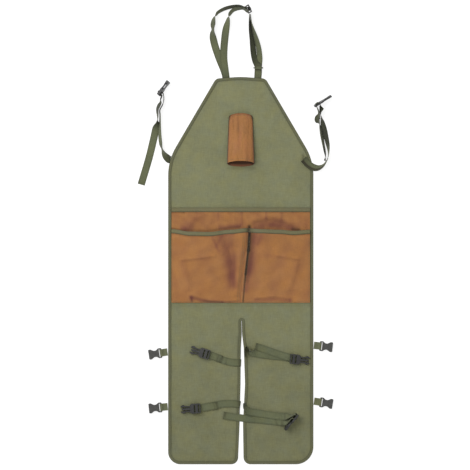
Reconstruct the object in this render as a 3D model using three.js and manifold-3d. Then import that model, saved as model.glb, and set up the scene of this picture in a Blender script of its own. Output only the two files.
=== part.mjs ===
// Gardening leg apron laid flat, front up: a bib that widens to a straight body, two leg flaps beside
// a slit, pockets, a tool sleeve, a neck strap, two waist straps and four leg fasteners.
// Millimetres. X runs to the right of the laid apron, Y up to the neck, Z up off the surface.
// The origin is on the underside of the body panel, on its centre line, half way along its length.
import * as THREE from 'three';
import { mergeVertices } from 'three/addons/utils/BufferGeometryUtils.js';
import Module from 'manifold-3d';

const wasm = await Module();
wasm.setup();

// Room left between pieces that are sewn or pushed together
const clearance = 0.3;

// Body panel and the tape folded over its edge
const bodyWidth = 398;
const bodyLength = 1062;
const bibTopWidth = 136;
const bibTopRise = 5;
const bibArchRadius = 260;
const bibSlopeLength = 229;
const bibCornerRadius = 17;
const waistCornerRadius = 155;
const hemCornerRadiusLeft = 34;
const hemCornerRadiusRight = 48;
const slitCornerRadius = 19;
const slitLength = 393;
const slitHemWidth = 15;
const slitTopWidth = 0.08 * slitHemWidth;
const slitTopRadius = 0.45 * slitTopWidth;
const slitBendRadius = 150;
const panelThickness = 2.6;
const tapeThickness = 0.8;
const tapeWidth = 9;
const tapeNick = 0.7 * tapeThickness;

// Pockets across the front
const pocketThickness = 1.2;
const pocketHemHeight = 443;
const backPocketDepth = 260;
const backPocketGape = 7;
const frontPocketDepth = 204;
const frontPocketGape = 13;
const pocketSeamLean = 17;
const mouthTapeWidth = 12;

// Tool sleeve on the bib
const sleeveLength = 127;
const sleeveDrop = 112;
const sleeveTopWidth = 66;
const sleeveMouthWidth = 76;
const sleeveTopHeight = 11;
const sleeveMouthHeight = 25;
const sleeveTopArch = 12;
const sleeveHemArch = 8;
const sleeveThickness = 1.2;
const sleeveLipDrop = 7;

// Webbing and the places where it is sewn on, measured up from the hem
const webbingWidth = 20;
const webbingThickness = 1.3;
const waistStrapHeight = 830;
const waistStrapReach = 172;
const neckStrapReach = 195;
const neckLoopReach = 160;
const neckStrapInset = 26;
const neckTabInset = 20;
const neckTabLength = 24;
const legStrapHeightUpper = 305;
const legStrapHeightLower = 160;
const sideTabLength = 21;
const sewnLength = 5;

// Side-release buckles, neck glide and neck ring
const buckleWidth = 27;
const receptacleLength = 36;
const receptacleThickness = 7.8;
const receptacleWall = 1.6;
const adjusterLength = 11;
const plugBaseLength = 27;
const plugProngLength = 28;
const plugThickness = 4.4;
const slotDepth = 4;
const middleBarDepth = 7;
const slotLead = 3;
const barDepth = 3;
const barThickness = 3;
const glideLength = 23;
const glideThickness = 3;
const ringWire = 3;
const ringHeight = 12.6;

// Centres of the webbing slots, from a part's strap end
const firstSlot = barDepth + slotDepth / 2;
const receptacleSlots = [firstSlot, firstSlot + slotDepth + barDepth];
const plugSlots = [firstSlot, firstSlot + slotDepth + middleBarDepth];
const glideWindow = (glideLength - 3 * barDepth) / 2;
const glideSlots = [barDepth + glideWindow / 2, 2 * barDepth + glideWindow * 1.5];

const colours = {
  canvas: { color: '#82865f', roughness: 0.95 },
  tape: { color: '#5f6446', roughness: 0.95 },
  rust: { color: '#a17147', roughness: 0.85 },
  webbing: { color: '#6b7052', roughness: 0.9 },
  plastic: { color: '#2b2b2c', roughness: 0.45 },
};

const apron = new THREE.Group();
const halfLength = bodyLength / 2;
const hemY = -halfLength;
const frontFace = panelThickness;
const edgeTop = panelThickness + clearance + tapeThickness;
const up = new THREE.Vector3(0, 0, 1);

// Shared makers

function mesh(name, geometry, finish) {
  const material = new THREE.MeshStandardMaterial({ ...colours[finish], metalness: 0 });
  const made = new THREE.Mesh(geometry, material);
  made.name = name;
  return made;
}

// Geometry from points and triangles, turned so that its faces look outward
function closedGeometry(points, triangles) {
  const volume = triangles.reduce((sum, [a, b, c]) => {
    const cross = new THREE.Vector3().crossVectors(points[b], points[c]);
    return sum + points[a].dot(cross);
  }, 0);
  const turned = volume > 0 ? triangles : triangles.map(([a, b, c]) => [a, c, b]);
  const geometry = new THREE.BufferGeometry();
  const values = points.flatMap((point) => point.toArray());
  geometry.setAttribute('position', new THREE.Float32BufferAttribute(values, 3));
  geometry.setIndex(turned.flat());
  return geometry;
}

// Caps come in either turn, so each is checked against the wall triangle that shares its first edge
function orientedLike(points, triangles) {
  const edges = new Map();
  triangles.forEach((triangle, index) => {
    triangle.forEach((a, i) => {
      const b = triangle[(i + 1) % 3];
      const key = a < b ? `${a}-${b}` : `${b}-${a}`;
      if (!edges.has(key)) edges.set(key, []);
      edges.get(key).push(index);
    });
  });
  const follows = (triangle, a, b) => triangle.some((p, i) => p === a && triangle[(i + 1) % 3] === b);
  const seen = new Set([0]);
  const queue = [0];
  while (queue.length) {
    const index = queue.pop();
    const triangle = triangles[index];
    triangle.forEach((a, i) => {
      const b = triangle[(i + 1) % 3];
      const key = a < b ? `${a}-${b}` : `${b}-${a}`;
      edges.get(key).filter((other) => !seen.has(other)).forEach((other) => {
        if (follows(triangles[other], a, b)) triangles[other].reverse();
        seen.add(other);
        queue.push(other);
      });
    });
  }
  return closedGeometry(points, triangles);
}

// Rings of equal length joined in turn, closed on themselves or with a cap at each end
function loft(rings, firstCap, lastCap = firstCap) {
  const size = rings[0].length;
  const closed = !firstCap;
  const triangles = [];
  const spans = closed ? rings.length : rings.length - 1;
  for (let i = 0; i < spans; i += 1) {
    const here = i * size;
    const next = ((i + 1) % rings.length) * size;
    for (let j = 0; j < size; j += 1) {
      const k = (j + 1) % size;
      triangles.push([here + j, here + k, next + k], [here + j, next + k, next + j]);
    }
  }
  if (!closed) {
    const last = (rings.length - 1) * size;
    firstCap.forEach(([a, b, c]) => triangles.push([a, c, b]));
    lastCap.forEach(([a, b, c]) => triangles.push([last + a, last + b, last + c]));
  }
  return orientedLike(rings.flat(), triangles);
}

function capOf(outline) {
  return THREE.ShapeUtils.triangulateShape(outline.map(([x, y]) => new THREE.Vector2(x, y)), []);
}

// A thin wall between two grids of points, closed along its four sides
function wall(columns, rows, under, over) {
  const points = [];
  for (let side = 0; side < 2; side += 1) {
    for (let i = 0; i <= columns; i += 1) {
      for (let j = 0; j <= rows; j += 1) points.push(side ? over(i, j) : under(i, j));
    }
  }
  const at = (side, i, j) => (side * (columns + 1) + i) * (rows + 1) + j;
  const triangles = [];
  const quad = (a, b, c, d) => triangles.push([a, b, c], [a, c, d]);
  for (let i = 0; i < columns; i += 1) {
    for (let j = 0; j < rows; j += 1) {
      quad(at(1, i, j), at(1, i + 1, j), at(1, i + 1, j + 1), at(1, i, j + 1));
      quad(at(0, i, j), at(0, i, j + 1), at(0, i + 1, j + 1), at(0, i + 1, j));
    }
    quad(at(0, i, 0), at(0, i + 1, 0), at(1, i + 1, 0), at(1, i, 0));
    quad(at(0, i, rows), at(1, i, rows), at(1, i + 1, rows), at(0, i + 1, rows));
  }
  for (let j = 0; j < rows; j += 1) {
    quad(at(0, 0, j), at(1, 0, j), at(1, 0, j + 1), at(0, 0, j + 1));
    quad(at(0, columns, j), at(0, columns, j + 1), at(1, columns, j + 1), at(1, columns, j));
  }
  return closedGeometry(points, triangles);
}

const smooth = (value) => {
  const t = THREE.MathUtils.clamp(value, 0, 1);
  return t * t * (3 - 2 * t);
};

const mix = THREE.MathUtils.lerp;

// The two sides of the slit, which sways to the right: up from the hem as shares of its length, across
// as shares of its width at the hem
const slitSides = [
  { up: 0, left: -0.5, right: 0.5 },
  { up: 0.28, left: -0.13, right: 0.32 },
  { up: 0.56, left: 0.05, right: 0.69 },
  { up: 0.81, left: 0.08, right: 0.5 },
  { up: 0.91, left: 0.17, right: 0.25 },
  { up: 1, left: 0.11, right: 0.19 },
];

function slitEdgeAt(side, height) {
  const up = height / slitLength;
  const next = Math.max(1, slitSides.findIndex((row) => row.up >= up));
  const [a, b] = [slitSides[next - 1], slitSides[next]];
  return slitHemWidth * mix(a[side], b[side], (up - a.up) / (b.up - a.up));
}

const slitRadii = [slitCornerRadius, ...slitSides.slice(2).map(() => slitBendRadius), slitTopRadius];
const slitCorners = (side) => slitSides.map((row, i) => ({
  x: slitHemWidth * row[side],
  y: hemY + slitLength * row.up,
  radius: slitRadii[i],
}));

// Body outline: corners with a radius each, joined by straight runs

const corners = [
  { x: 0, y: halfLength, radius: bibArchRadius },
  { x: bibTopWidth / 2, y: halfLength - bibTopRise, radius: bibCornerRadius },
  { x: bodyWidth / 2, y: halfLength - bibSlopeLength, radius: waistCornerRadius },
  { x: bodyWidth / 2, y: hemY, radius: hemCornerRadiusRight },
  ...slitCorners('right'),
  ...slitCorners('left').reverse(),
  { x: -bodyWidth / 2, y: hemY, radius: hemCornerRadiusLeft },
  { x: -bodyWidth / 2, y: halfLength - bibSlopeLength, radius: waistCornerRadius },
  { x: -bibTopWidth / 2, y: halfLength - bibTopRise, radius: bibCornerRadius },
];

// Points of the outline with the outward direction at each, clockwise seen from above
function roundedOutline() {
  const outline = [];
  corners.forEach((corner, i) => {
    const here = new THREE.Vector2(corner.x, corner.y);
    const before = corners[(i + corners.length - 1) % corners.length];
    const after = corners[(i + 1) % corners.length];
    const arriving = here.clone().sub(new THREE.Vector2(before.x, before.y)).normalize();
    const leaving = new THREE.Vector2(after.x, after.y).sub(here).normalize();
    const turn = Math.atan2(arriving.cross(leaving), arriving.dot(leaving));
    const side = Math.sign(turn);
    const reach = corner.radius * Math.tan(Math.abs(turn) / 2);
    const start = here.clone().addScaledVector(arriving, -reach);
    const outwardAtStart = new THREE.Vector2(-arriving.y, arriving.x);
    const centre = start.clone().addScaledVector(outwardAtStart, side * corner.radius);
    const steps = Math.max(1, Math.ceil(Math.abs(turn) / 0.3));
    for (let step = 0; step <= steps; step += 1) {
      const outward = outwardAtStart.clone().rotateAround(new THREE.Vector2(), (turn * step) / steps);
      const point = centre.clone().addScaledVector(outward, -side * corner.radius);
      outline.push({ point, outward });
    }
  });
  return outline;
}

const outline = roundedOutline();

// Place on the body's edge nearest to a point, with the outward direction there
function edgeNear(x, y) {
  const aim = new THREE.Vector2(x, y);
  const places = outline.map(({ point: from }, i) => {
    const run = outline[(i + 1) % outline.length].point.clone().sub(from);
    const share = THREE.MathUtils.clamp(aim.clone().sub(from).dot(run) / run.lengthSq(), 0, 1);
    const point = from.clone().addScaledVector(run, share);
    const outward = new THREE.Vector2(-run.y, run.x).normalize();
    return { point, outward, away: point.distanceTo(aim) };
  });
  return places.reduce((best, place) => (place.away < best.away ? place : best));
}

const ringAt = (inset, z) => outline.map(({ point, outward }) => {
  const moved = point.clone().addScaledVector(outward, -inset);
  return new THREE.Vector3(moved.x, moved.y, z);
});

// Panel: full thickness inside the tape, and a thinner rim that runs up into the fold of the tape
function makePanel() {
  const rimInset = tapeThickness + clearance;
  const coreInset = tapeWidth + clearance;
  const rimFloor = tapeThickness + clearance;
  const rings = [
    ringAt(coreInset, 0),
    ringAt(coreInset, rimFloor),
    ringAt(rimInset, rimFloor),
    ringAt(rimInset, frontFace),
  ];
  const [bottom, top] = [rings[0], rings[3]].map((ring) => capOf(ring.map((p) => [p.x, p.y])));
  return mesh('body_panel', loft(rings, bottom, top), 'canvas');
}

// Edge tape: a folded strip all round the panel, both lips facing inward
function makeEdgeTape() {
  const section = [
    [tapeWidth, 0],
    [tapeNick, 0],
    [0, tapeNick],
    [0, edgeTop - tapeNick],
    [tapeNick, edgeTop],
    [tapeWidth, edgeTop],
    [tapeWidth, edgeTop - tapeThickness],
    [tapeThickness, edgeTop - tapeThickness],
    [tapeThickness, tapeThickness],
    [tapeWidth, tapeThickness],
  ];
  const rings = outline.map(({ point, outward }) => section.map(([inset, z]) => {
    const moved = point.clone().addScaledVector(outward, -inset);
    return new THREE.Vector3(moved.x, moved.y, z);
  }));
  return mesh('edge_tape', loft(rings), 'tape');
}

apron.add(makePanel(), makeEdgeTape());

// Pockets: walls that stand off the panel, sewn down at their sides and hem, open at the top

const pocketHem = hemY + pocketHemHeight;
const pocketHalfWidth = bodyWidth / 2 - tapeWidth - clearance;
const mouthRoom = tapeThickness + 2 * clearance;
const mouthRise = 30;
const seamColumns = 12;
const backPocketRows = 6;
const frontPocketRows = 10;

// Height of the back pocket's underside above the panel's front face
function backPocketHeight(x, y) {
  const across = x / pocketHalfWidth;
  const rise = (y - pocketHem) / backPocketDepth;
  const belly = Math.cos((across * Math.PI) / 2) ** 2;
  const lift = mouthRoom * smooth(1 + (y - pocketHem - backPocketDepth + mouthTapeWidth) / mouthRise);
  return clearance + lift + backPocketGape * belly * smooth(rise * 1.05);
}

// Folds of the front pockets. Places are shares of one pocket's width (out from the middle seam) and
// depth (up from its hem), heights are shares of its gape, spreads are shares of its width.
const pocketFolds = {
  left: [
    { out: 0.01, up: 1.0, outEnd: 0.04, upEnd: 0.1, height: 0.4, spread: 0.065 },
    { out: 0.36, up: 0.98, outEnd: 0.17, upEnd: 0.7, height: -0.34, spread: 0.075 },
    { out: 0.17, up: 0.7, outEnd: 0.11, upEnd: 0.2, height: -0.3, spread: 0.055 },
    { out: 0.82, up: 0.59, outEnd: 0.42, upEnd: 0.63, height: 0.12, spread: 0.03 },
    { out: 0.84, up: 0.58, outEnd: 0.72, upEnd: 0.18, height: 0.12, spread: 0.03 },
    { out: 0.7, up: 0.1, outEnd: 0.42, upEnd: 0.03, height: 0.2, spread: 0.04 },
    { out: 0.42, up: 0.06, outEnd: 0.02, upEnd: 0.05, height: 0.16, spread: 0.04 },
  ],
  right: [
    { out: 0.12, up: 1.0, outEnd: 0.07, upEnd: 0.3, height: -0.22, spread: 0.06 },
    { out: 0.3, up: 1.0, outEnd: 0.2, upEnd: 0.4, height: 0.14, spread: 0.09 },
    { out: 0.5, up: 0.63, outEnd: 0.8, upEnd: 0.59, height: 0.12, spread: 0.03 },
    { out: 0.79, up: 0.52, outEnd: 0.69, upEnd: 0.18, height: 0.12, spread: 0.03 },
    { out: 0.2, up: 0.06, outEnd: 0.48, upEnd: 0.1, height: 0.2, spread: 0.04 },
    { out: 0.48, up: 0.1, outEnd: 0.7, upEnd: 0.05, height: 0.16, spread: 0.04 },
  ],
};

// Sag of the front mouth below its highest line, as shares of the pocket's depth
const mouthSags = [
  { out: 0, left: 0.0, right: 0.0 },
  { out: 0.22, left: 0.02, right: 0.012 },
  { out: 0.5, left: 0.05, right: 0.02 },
  { out: 0.75, left: 0.045, right: 0.035 },
  { out: 1, left: 0.012, right: 0.02 },
];

function sagAt(side, out) {
  const next = mouthSags.findIndex((row) => row.out >= out);
  if (next <= 0) return mouthSags[0][side] * frontPocketDepth;
  const [a, b] = [mouthSags[next - 1], mouthSags[next]];
  return mix(a[side], b[side], smooth((out - a.out) / (b.out - a.out))) * frontPocketDepth;
}

function foldHeight(side, out, rise) {
  return pocketFolds[side].reduce((sum, fold) => {
    const line = new THREE.Vector2(fold.outEnd - fold.out, fold.upEnd - fold.up);
    const from = new THREE.Vector2(out - fold.out, rise - fold.up);
    const along = THREE.MathUtils.clamp(from.dot(line) / line.lengthSq(), 0, 1);
    const away = from.addScaledVector(line, -along).length() / fold.spread;
    return sum + fold.height * Math.exp(-away * away);
  }, 0);
}

// Height of a front pocket's underside above the panel's front face
function frontPocketHeight(side, out, x, y) {
  const rise = THREE.MathUtils.clamp((y - pocketHem) / frontPocketDepth, 0, 1);
  const edge = Math.sin(Math.PI * THREE.MathUtils.clamp(out * 0.97 + 0.015, 0, 1)) ** 0.8;
  const hem = smooth(rise * 4);
  const belly = edge * mix(0.35, 1, smooth(rise)) * 0.62;
  const free = smooth(Math.min(out, 1 - out) * 9) * hem;
  const own = frontPocketGape * Math.max(0, hem * belly + free * foldHeight(side, out, rise));
  const lift = mouthRoom * smooth(1 + (y - pocketHem - frontPocketDepth + 2 * mouthTapeWidth) / mouthRise);
  return backPocketHeight(x, y) + pocketThickness + clearance + lift + own;
}

// Grid of one pocket wall. The rows end with the straight strip that the mouth tape covers.
function pocketGrid(xAt, mouthAt, heightAt, columns, rows) {
  return (i, j) => {
    const out = i / columns;
    const mouth = mouthAt(out);
    const strip = mouth - mouthTapeWidth;
    const rise = Math.min(j / (rows - 1), 1);
    const bend = mix(pocketHem, strip, rise);
    const y = j === rows ? mouth - tapeThickness - clearance : bend;
    const x = xAt(out, bend);
    return new THREE.Vector3(x, y, frontFace + heightAt(out, x, bend));
  };
}

function makePocket(name, place, columns, rows) {
  const over = (i, j) => place(i, j).add(new THREE.Vector3(0, 0, pocketThickness));
  return mesh(name, wall(columns, rows, place, over), 'rust');
}

// Tape folded over a pocket's mouth, its lips reaching down both sides of the wall
function makeMouthTape(name, place, columns, rows) {
  const [low, high] = [-clearance - tapeThickness, pocketThickness + clearance + tapeThickness];
  const lip = mouthTapeWidth - clearance;
  const section = [
    [lip, low],
    [tapeNick, low],
    [0, low + tapeNick],
    [0, high - tapeNick],
    [tapeNick, high],
    [lip, high],
    [lip, high - tapeThickness],
    [tapeThickness, high - tapeThickness],
    [tapeThickness, low + tapeThickness],
    [lip, low + tapeThickness],
  ];
  const rings = [];
  for (let i = 0; i <= columns; i += 1) {
    const top = place(i, rows);
    const edge = top.y + tapeThickness + clearance;
    rings.push(section.map(([down, z]) => new THREE.Vector3(top.x, edge - down, top.z + z)));
  }
  return mesh(name, loft(rings, capOf(section)), 'tape');
}

const backColumns = 2 * seamColumns;
const backPlace = pocketGrid(
  (out) => mix(-pocketHalfWidth, pocketHalfWidth, out),
  () => pocketHem + backPocketDepth,
  (out, x, y) => backPocketHeight(x, y),
  backColumns,
  backPocketRows,
);

// The middle seam leans to the right toward the mouth
const seamAt = (y) => pocketSeamLean * smooth((y - pocketHem) / frontPocketDepth);

const frontPlace = (side) => pocketGrid(
  (out, y) => (side === 'left'
    ? mix(seamAt(y) - clearance / 2, -pocketHalfWidth, out)
    : mix(seamAt(y) + clearance / 2, pocketHalfWidth, out)),
  (out) => pocketHem + frontPocketDepth - sagAt(side, out),
  (out, x, y) => frontPocketHeight(side, out, x, y),
  seamColumns,
  frontPocketRows,
);

apron.add(
  makePocket('back_pocket', backPlace, backColumns, backPocketRows),
  makeMouthTape('back_pocket_tape', backPlace, backColumns, backPocketRows),
);
['left', 'right'].forEach((side) => {
  const place = frontPlace(side);
  apron.add(
    makePocket(`front_pocket_${side}`, place, seamColumns, frontPocketRows),
    makeMouthTape(`front_pocket_tape_${side}`, place, seamColumns, frontPocketRows),
  );
});

// Tool sleeve: an arched tube open at both ends, with four soft ridges along it

const sleeveRidges = [
  { across: -0.62, rise: 0.5 },
  { across: -0.22, rise: 0.6 },
  { across: 0.2, rise: 0.8 },
  { across: 0.6, rise: 0.5 },
];
const sleeveRidgeHeight = 2;
const sleeveRidgeSpread = 0.13;
const sleeveColumns = 18;
const sleeveRows = 7;
const sleeveTop = halfLength - sleeveDrop;

function sleevePoint(across, along) {
  const halfWidth = mix(sleeveMouthWidth, sleeveTopWidth, along) / 2 - sleeveThickness;
  const height = mix(sleeveMouthHeight, sleeveTopHeight, smooth(along)) - sleeveThickness;
  const angle = (Math.PI / 2) * across;
  const arch = mix(sleeveHemArch, sleeveTopArch, along) * Math.cos(angle);
  const ridge = sleeveRidges.reduce((sum, { across: at, rise }) => {
    const away = (across - at) / sleeveRidgeSpread;
    return sum + rise * sleeveRidgeHeight * Math.exp(-away * away);
  }, 0);
  const x = halfWidth * Math.sin(angle);
  const z = frontFace + clearance + (height + ridge * (1 - along * 0.5)) * Math.cos(angle) ** 0.75;
  return new THREE.Vector3(x, sleeveTop - sleeveLength * (1 - along) + arch, z);
}

function makeSleeve() {
  const under = (i, j) => sleevePoint(mix(-1, 1, i / sleeveColumns), j / sleeveRows);
  const over = (i, j) => {
    const [across, along] = [mix(-1, 1, i / sleeveColumns), j / sleeveRows];
    const outward = new THREE.Vector3(Math.sin((Math.PI / 2) * across), 0, Math.cos((Math.PI / 2) * across));
    return sleevePoint(across, along).addScaledVector(outward, sleeveThickness);
  };
  return mesh('tool_sleeve', wall(sleeveColumns, sleeveRows, under, over), 'rust');
}

// Back layer of the sleeve, flat on the panel, with a rounded lip that shows below the front's hem
function makeSleeveBack() {
  const angles = [-90, -68, -45, -22, 0, 22, 45, 68, 90].map((angle) => THREE.MathUtils.degToRad(angle));
  const edge = (width, y, bow) => {
    const half = width / 2 - sleeveThickness - 3 * clearance;
    return angles.map((angle) => [half * Math.sin(angle), y + bow * Math.cos(angle)]);
  };
  const hem = edge(sleeveMouthWidth, sleeveTop - sleeveLength, -sleeveLipDrop);
  const top = edge(sleeveTopWidth, sleeveTop - clearance, sleeveTopArch);
  const back = mesh('tool_sleeve_back', plate([...hem, ...top.reverse()], sleeveThickness, 0), 'rust');
  back.position.z = frontFace + clearance;
  return back;
}

apron.add(makeSleeve(), makeSleeveBack());

// Hard parts are drawn flat: X from the strap's end to the free end, Y across, Z through

// A plate from an outline, with a small bevel on every edge
function plate(contour, thickness, bevel = 0.5) {
  const shape = new THREE.Shape(contour.map(([x, y]) => new THREE.Vector2(x, y)));
  const geometry = new THREE.ExtrudeGeometry(shape, {
    depth: thickness - 2 * bevel,
    bevelEnabled: bevel > 0,
    bevelThickness: bevel,
    bevelSize: bevel,
    bevelOffset: -bevel,
    bevelSegments: 1,
    curveSegments: 4,
  });
  return geometry.translate(0, 0, bevel);
}

const box = (x0, x1, halfY, z0, z1, y = 0) => new THREE.BoxGeometry(x1 - x0, 2 * halfY, z1 - z0)
  .translate((x0 + x1) / 2, y, (z0 + z1) / 2);

const through = (x0, x1, halfY) => box(x0, x1, halfY, -5, 15);

function toManifold(geometry) {
  const bare = geometry.clone();
  bare.deleteAttribute('normal');
  bare.deleteAttribute('uv');
  const merged = mergeVertices(bare, 1e-3);
  return new wasm.Manifold(new wasm.Mesh({
    numProp: 3,
    vertProperties: new Float32Array(merged.attributes.position.array),
    triVerts: new Uint32Array(merged.index.array),
  }));
}

function fromManifold(solid) {
  const made = solid.getMesh();
  const geometry = new THREE.BufferGeometry();
  geometry.setAttribute('position', new THREE.Float32BufferAttribute(made.vertProperties, 3));
  geometry.setIndex([...made.triVerts]);
  return geometry;
}

const cut = (body, tools) => fromManifold(
  tools.reduce((left, tool) => left.subtract(toManifold(tool)), toManifold(body)),
);

const slotHalf = webbingWidth / 2 + clearance;
const halfBuckle = buckleWidth / 2;

// Receptacle: an hourglass box, open at its mouth and through its waist, with a thin webbing bar
function receptacleGeometry(extra) {
  const length = receptacleLength + extra;
  const waist = buckleWidth * 0.32;
  const shoulder = barDepth + slotDepth + 2 + extra;
  const middle = shoulder + 9;
  const flare = length - 9;
  const half = [
    [0, halfBuckle - 1.5],
    [1.5, halfBuckle],
    [shoulder, halfBuckle],
    [shoulder + 4, waist + 1.6],
    [middle - 2, waist],
    [middle + 3, waist],
    [flare - 2, waist + 2],
    [flare + 2, halfBuckle],
    [length - 1.5, halfBuckle],
    [length, halfBuckle - 1.5],
  ];
  const contour = [...half.map(([x, y]) => [x, -y]), ...half.reverse()];
  const slots = [through(barDepth, barDepth + slotDepth, slotHalf)];
  if (extra) slots.push(through(2 * barDepth + slotDepth, 2 * (barDepth + slotDepth), slotHalf));
  const body = plate(contour, receptacleThickness);
  const middleZ = receptacleThickness / 2;
  const socketHalf = halfBuckle - receptacleWall - 1;
  const socketZ = middleZ - receptacleWall;
  const barTop = middleZ + barThickness / 2;
  return cut(body, [
    ...slots,
    box(shoulder + 2, length + 5, socketHalf, middleZ - socketZ, middleZ + socketZ),
    box(-1, barDepth + 0.5, slotHalf, barTop, receptacleThickness + 1),
    box(-1, barDepth + 0.5, slotHalf, -1, middleZ - barThickness / 2),
  ]);
}

// Plug: a frame with two webbing slots, a middle guide and two hooked spring arms
function plugGeometry() {
  const base = plugBaseLength;
  const end = base + plugProngLength;
  const armOuter = halfBuckle - receptacleWall - 1.6;
  const guideHalf = 3.2;
  const half = [
    [0, halfBuckle - 1.5],
    [1.5, halfBuckle],
    [base - 2, halfBuckle],
    [base, halfBuckle - 2],
    [base + 4, armOuter - 2.6],
    [end - 12, armOuter - 1.4],
    [end - 9, armOuter + 1.6],
    [end - 5, armOuter + 1],
    [end, armOuter - 2.6],
    [end - 1, armOuter - 5],
    [end - 7, armOuter - 4.6],
    [base + 5, armOuter - 5.4],
    [base + 2, armOuter - 5.4],
    [base + 2, guideHalf],
    [end - 5, guideHalf - 0.5],
    [end - 3, guideHalf - 1.8],
  ];
  const contour = [...half.map(([x, y]) => [x, -y]), ...half.reverse()];
  const second = barDepth + slotDepth + middleBarDepth;
  return cut(plate(contour, plugThickness, 0.4), [
    through(barDepth, barDepth + slotDepth, slotHalf),
    through(second, second + slotDepth, slotHalf),
  ]);
}

function glideGeometry() {
  const halfWidth = slotHalf + barDepth;
  const contour = [
    [0, -halfWidth + 2],
    [2, -halfWidth],
    [glideLength - 2, -halfWidth],
    [glideLength, -halfWidth + 2],
    [glideLength, halfWidth - 2],
    [glideLength - 2, halfWidth],
    [2, halfWidth],
    [0, halfWidth - 2],
  ];
  return cut(plate(contour, glideThickness, 0.4), [
    through(barDepth, barDepth + glideWindow, slotHalf),
    through(2 * barDepth + glideWindow, 2 * (barDepth + glideWindow), slotHalf),
  ]);
}

// Sets a hard part at a place, turned about its own length and headed along the surface. tip lowers its
// free end, and its lowest point comes to rest at the height given.
function settle(part, { x, y, heading, roll = 0, tip = 0, height = 0 }) {
  const turned = new THREE.Euler(
    THREE.MathUtils.degToRad(roll),
    THREE.MathUtils.degToRad(tip),
    THREE.MathUtils.degToRad(heading),
    'ZYX',
  );
  part.quaternion.setFromEuler(turned);
  const lowest = new THREE.Vector3();
  const vertices = part.geometry.attributes.position;
  let floor = Infinity;
  for (let i = 0; i < vertices.count; i += 1) {
    lowest.fromBufferAttribute(vertices, i).applyQuaternion(part.quaternion);
    floor = Math.min(floor, lowest.z);
  }
  part.position.set(x, y, height - floor);
  return part;
}

// Webbing: a flat ribbon carried along stations. A station's roll is 0 where the ribbon lies flat
// and 90 where it stands on edge, and clear is the room below it. across fixes its width's direction
// all along, and a station's width fixes it there.
const webbingSection = [[-1, -1], [1, -1], [1, 1], [-1, 1]];

// Half the height that the webbing takes up at a roll
function halfHeight(roll) {
  const turn = THREE.MathUtils.degToRad(roll);
  return (Math.abs(Math.sin(turn)) * webbingWidth + Math.abs(Math.cos(turn)) * webbingThickness) / 2;
}

function ribbon(name, stations, across = null, steps = 2) {
  const knots = [0];
  stations.slice(1).forEach((next, i) => {
    const here = stations[i];
    const gap = Math.hypot(next.x - here.x, next.y - here.y, next.clear - here.clear);
    knots.push(knots[i] + Math.max(gap, 0.05));
  });
  // A smooth curve through one value of the stations, which keeps tight bends tight
  const curve = (key) => {
    const values = stations.map((station) => station[key]);
    const slope = (i) => {
      const [low, high] = [Math.max(i - 1, 0), Math.min(i + 1, values.length - 1)];
      return (values[high] - values[low]) / (knots[high] - knots[low]);
    };
    return (t) => {
      const i = Math.min(Math.floor(t), values.length - 2);
      const f = t - i;
      const gap = knots[i + 1] - knots[i];
      const [f2, f3] = [f * f, f * f * f];
      return (2 * f3 - 3 * f2 + 1) * values[i] + (f3 - 2 * f2 + f) * gap * slope(i)
        + (3 * f2 - 2 * f3) * values[i + 1] + (f3 - f2) * gap * slope(i + 1);
    };
  };
  const [x, y, roll] = ['x', 'y', 'roll'].map(curve);
  const clear = (t) => {
    const i = Math.min(Math.floor(t), stations.length - 2);
    return mix(stations[i].clear, stations[i + 1].clear, t - i);
  };
  const centre = (t) => new THREE.Vector3(x(t), y(t), clear(t) + halfHeight(roll(t)));
  const count = (stations.length - 1) * steps;
  const rings = [];
  for (let step = 0; step <= count; step += 1) {
    const t = step / steps;
    const end = stations.length - 1;
    const point = centre(t);
    const ahead = centre(Math.min(t + 0.05, end)).sub(centre(Math.max(t - 0.05, 0))).normalize();
    const flat = new THREE.Vector3(ahead.y, -ahead.x, 0).normalize();
    const turn = THREE.MathUtils.degToRad(roll(t));
    const sideways = (across ?? flat).clone().multiplyScalar(Math.cos(turn)).addScaledVector(up, Math.sin(turn));
    const i = Math.min(Math.floor(t), end - 1);
    const [here, next] = [stations[i].width, stations[i + 1].width];
    if (here || next) sideways.lerp(here ?? next, (here ? 1 - (t - i) : 0) + (next ? t - i : 0));
    sideways.addScaledVector(ahead, -sideways.dot(ahead)).normalize();
    const faceward = new THREE.Vector3().crossVectors(ahead, sideways);
    rings.push(webbingSection.map(([a, b]) => point.clone()
      .addScaledVector(sideways, (a * webbingWidth) / 2)
      .addScaledVector(faceward, (b * webbingThickness) / 2)));
  }
  return mesh(name, loft(rings, [[0, 1, 2], [0, 2, 3]]), 'webbing');
}

// Stations from a table whose lengths are shares: along of the strap's reach, aside of the webbing's
// width, and lift of the webbing's thickness above the base height
function stationsOf(rows, origin, reach, direction, base = 0) {
  const aside = new THREE.Vector2(direction.y, -direction.x);
  return rows.map((row) => ({
    x: origin.x + direction.x * row.along * reach + aside.x * row.aside * webbingWidth,
    y: origin.y + direction.y * row.along * reach + aside.y * row.aside * webbingWidth,
    clear: base + (row.lift ?? 0) * webbingThickness,
    roll: row.roll,
  }));
}

// Stations of a ribbon that goes in at one slot of a part, round the bar between and out at the other
// slot. Both runs lie on the same side of the part, and the ribbon's width lies along the slots.
function throughSlots(part, roll, thickness, [enter, leave]) {
  const width = new THREE.Vector3(0, 1, 0).applyQuaternion(part.quaternion);
  const behind = -(webbingThickness / 2 + 2 * clearance);
  const round = Math.sign(leave - enter) * (barDepth - webbingThickness);
  const path = [
    [enter, thickness + slotLead],
    [enter, thickness / 3],
    [enter + round, behind],
    [leave - round, behind],
    [leave, thickness / 3],
    [leave, thickness + slotLead],
  ];
  return path.map(([along, away]) => {
    const place = new THREE.Vector3(along, 0, away).applyQuaternion(part.quaternion).add(part.position);
    return { x: place.x, y: place.y, clear: place.z - halfHeight(roll), roll, width };
  });
}

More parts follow.
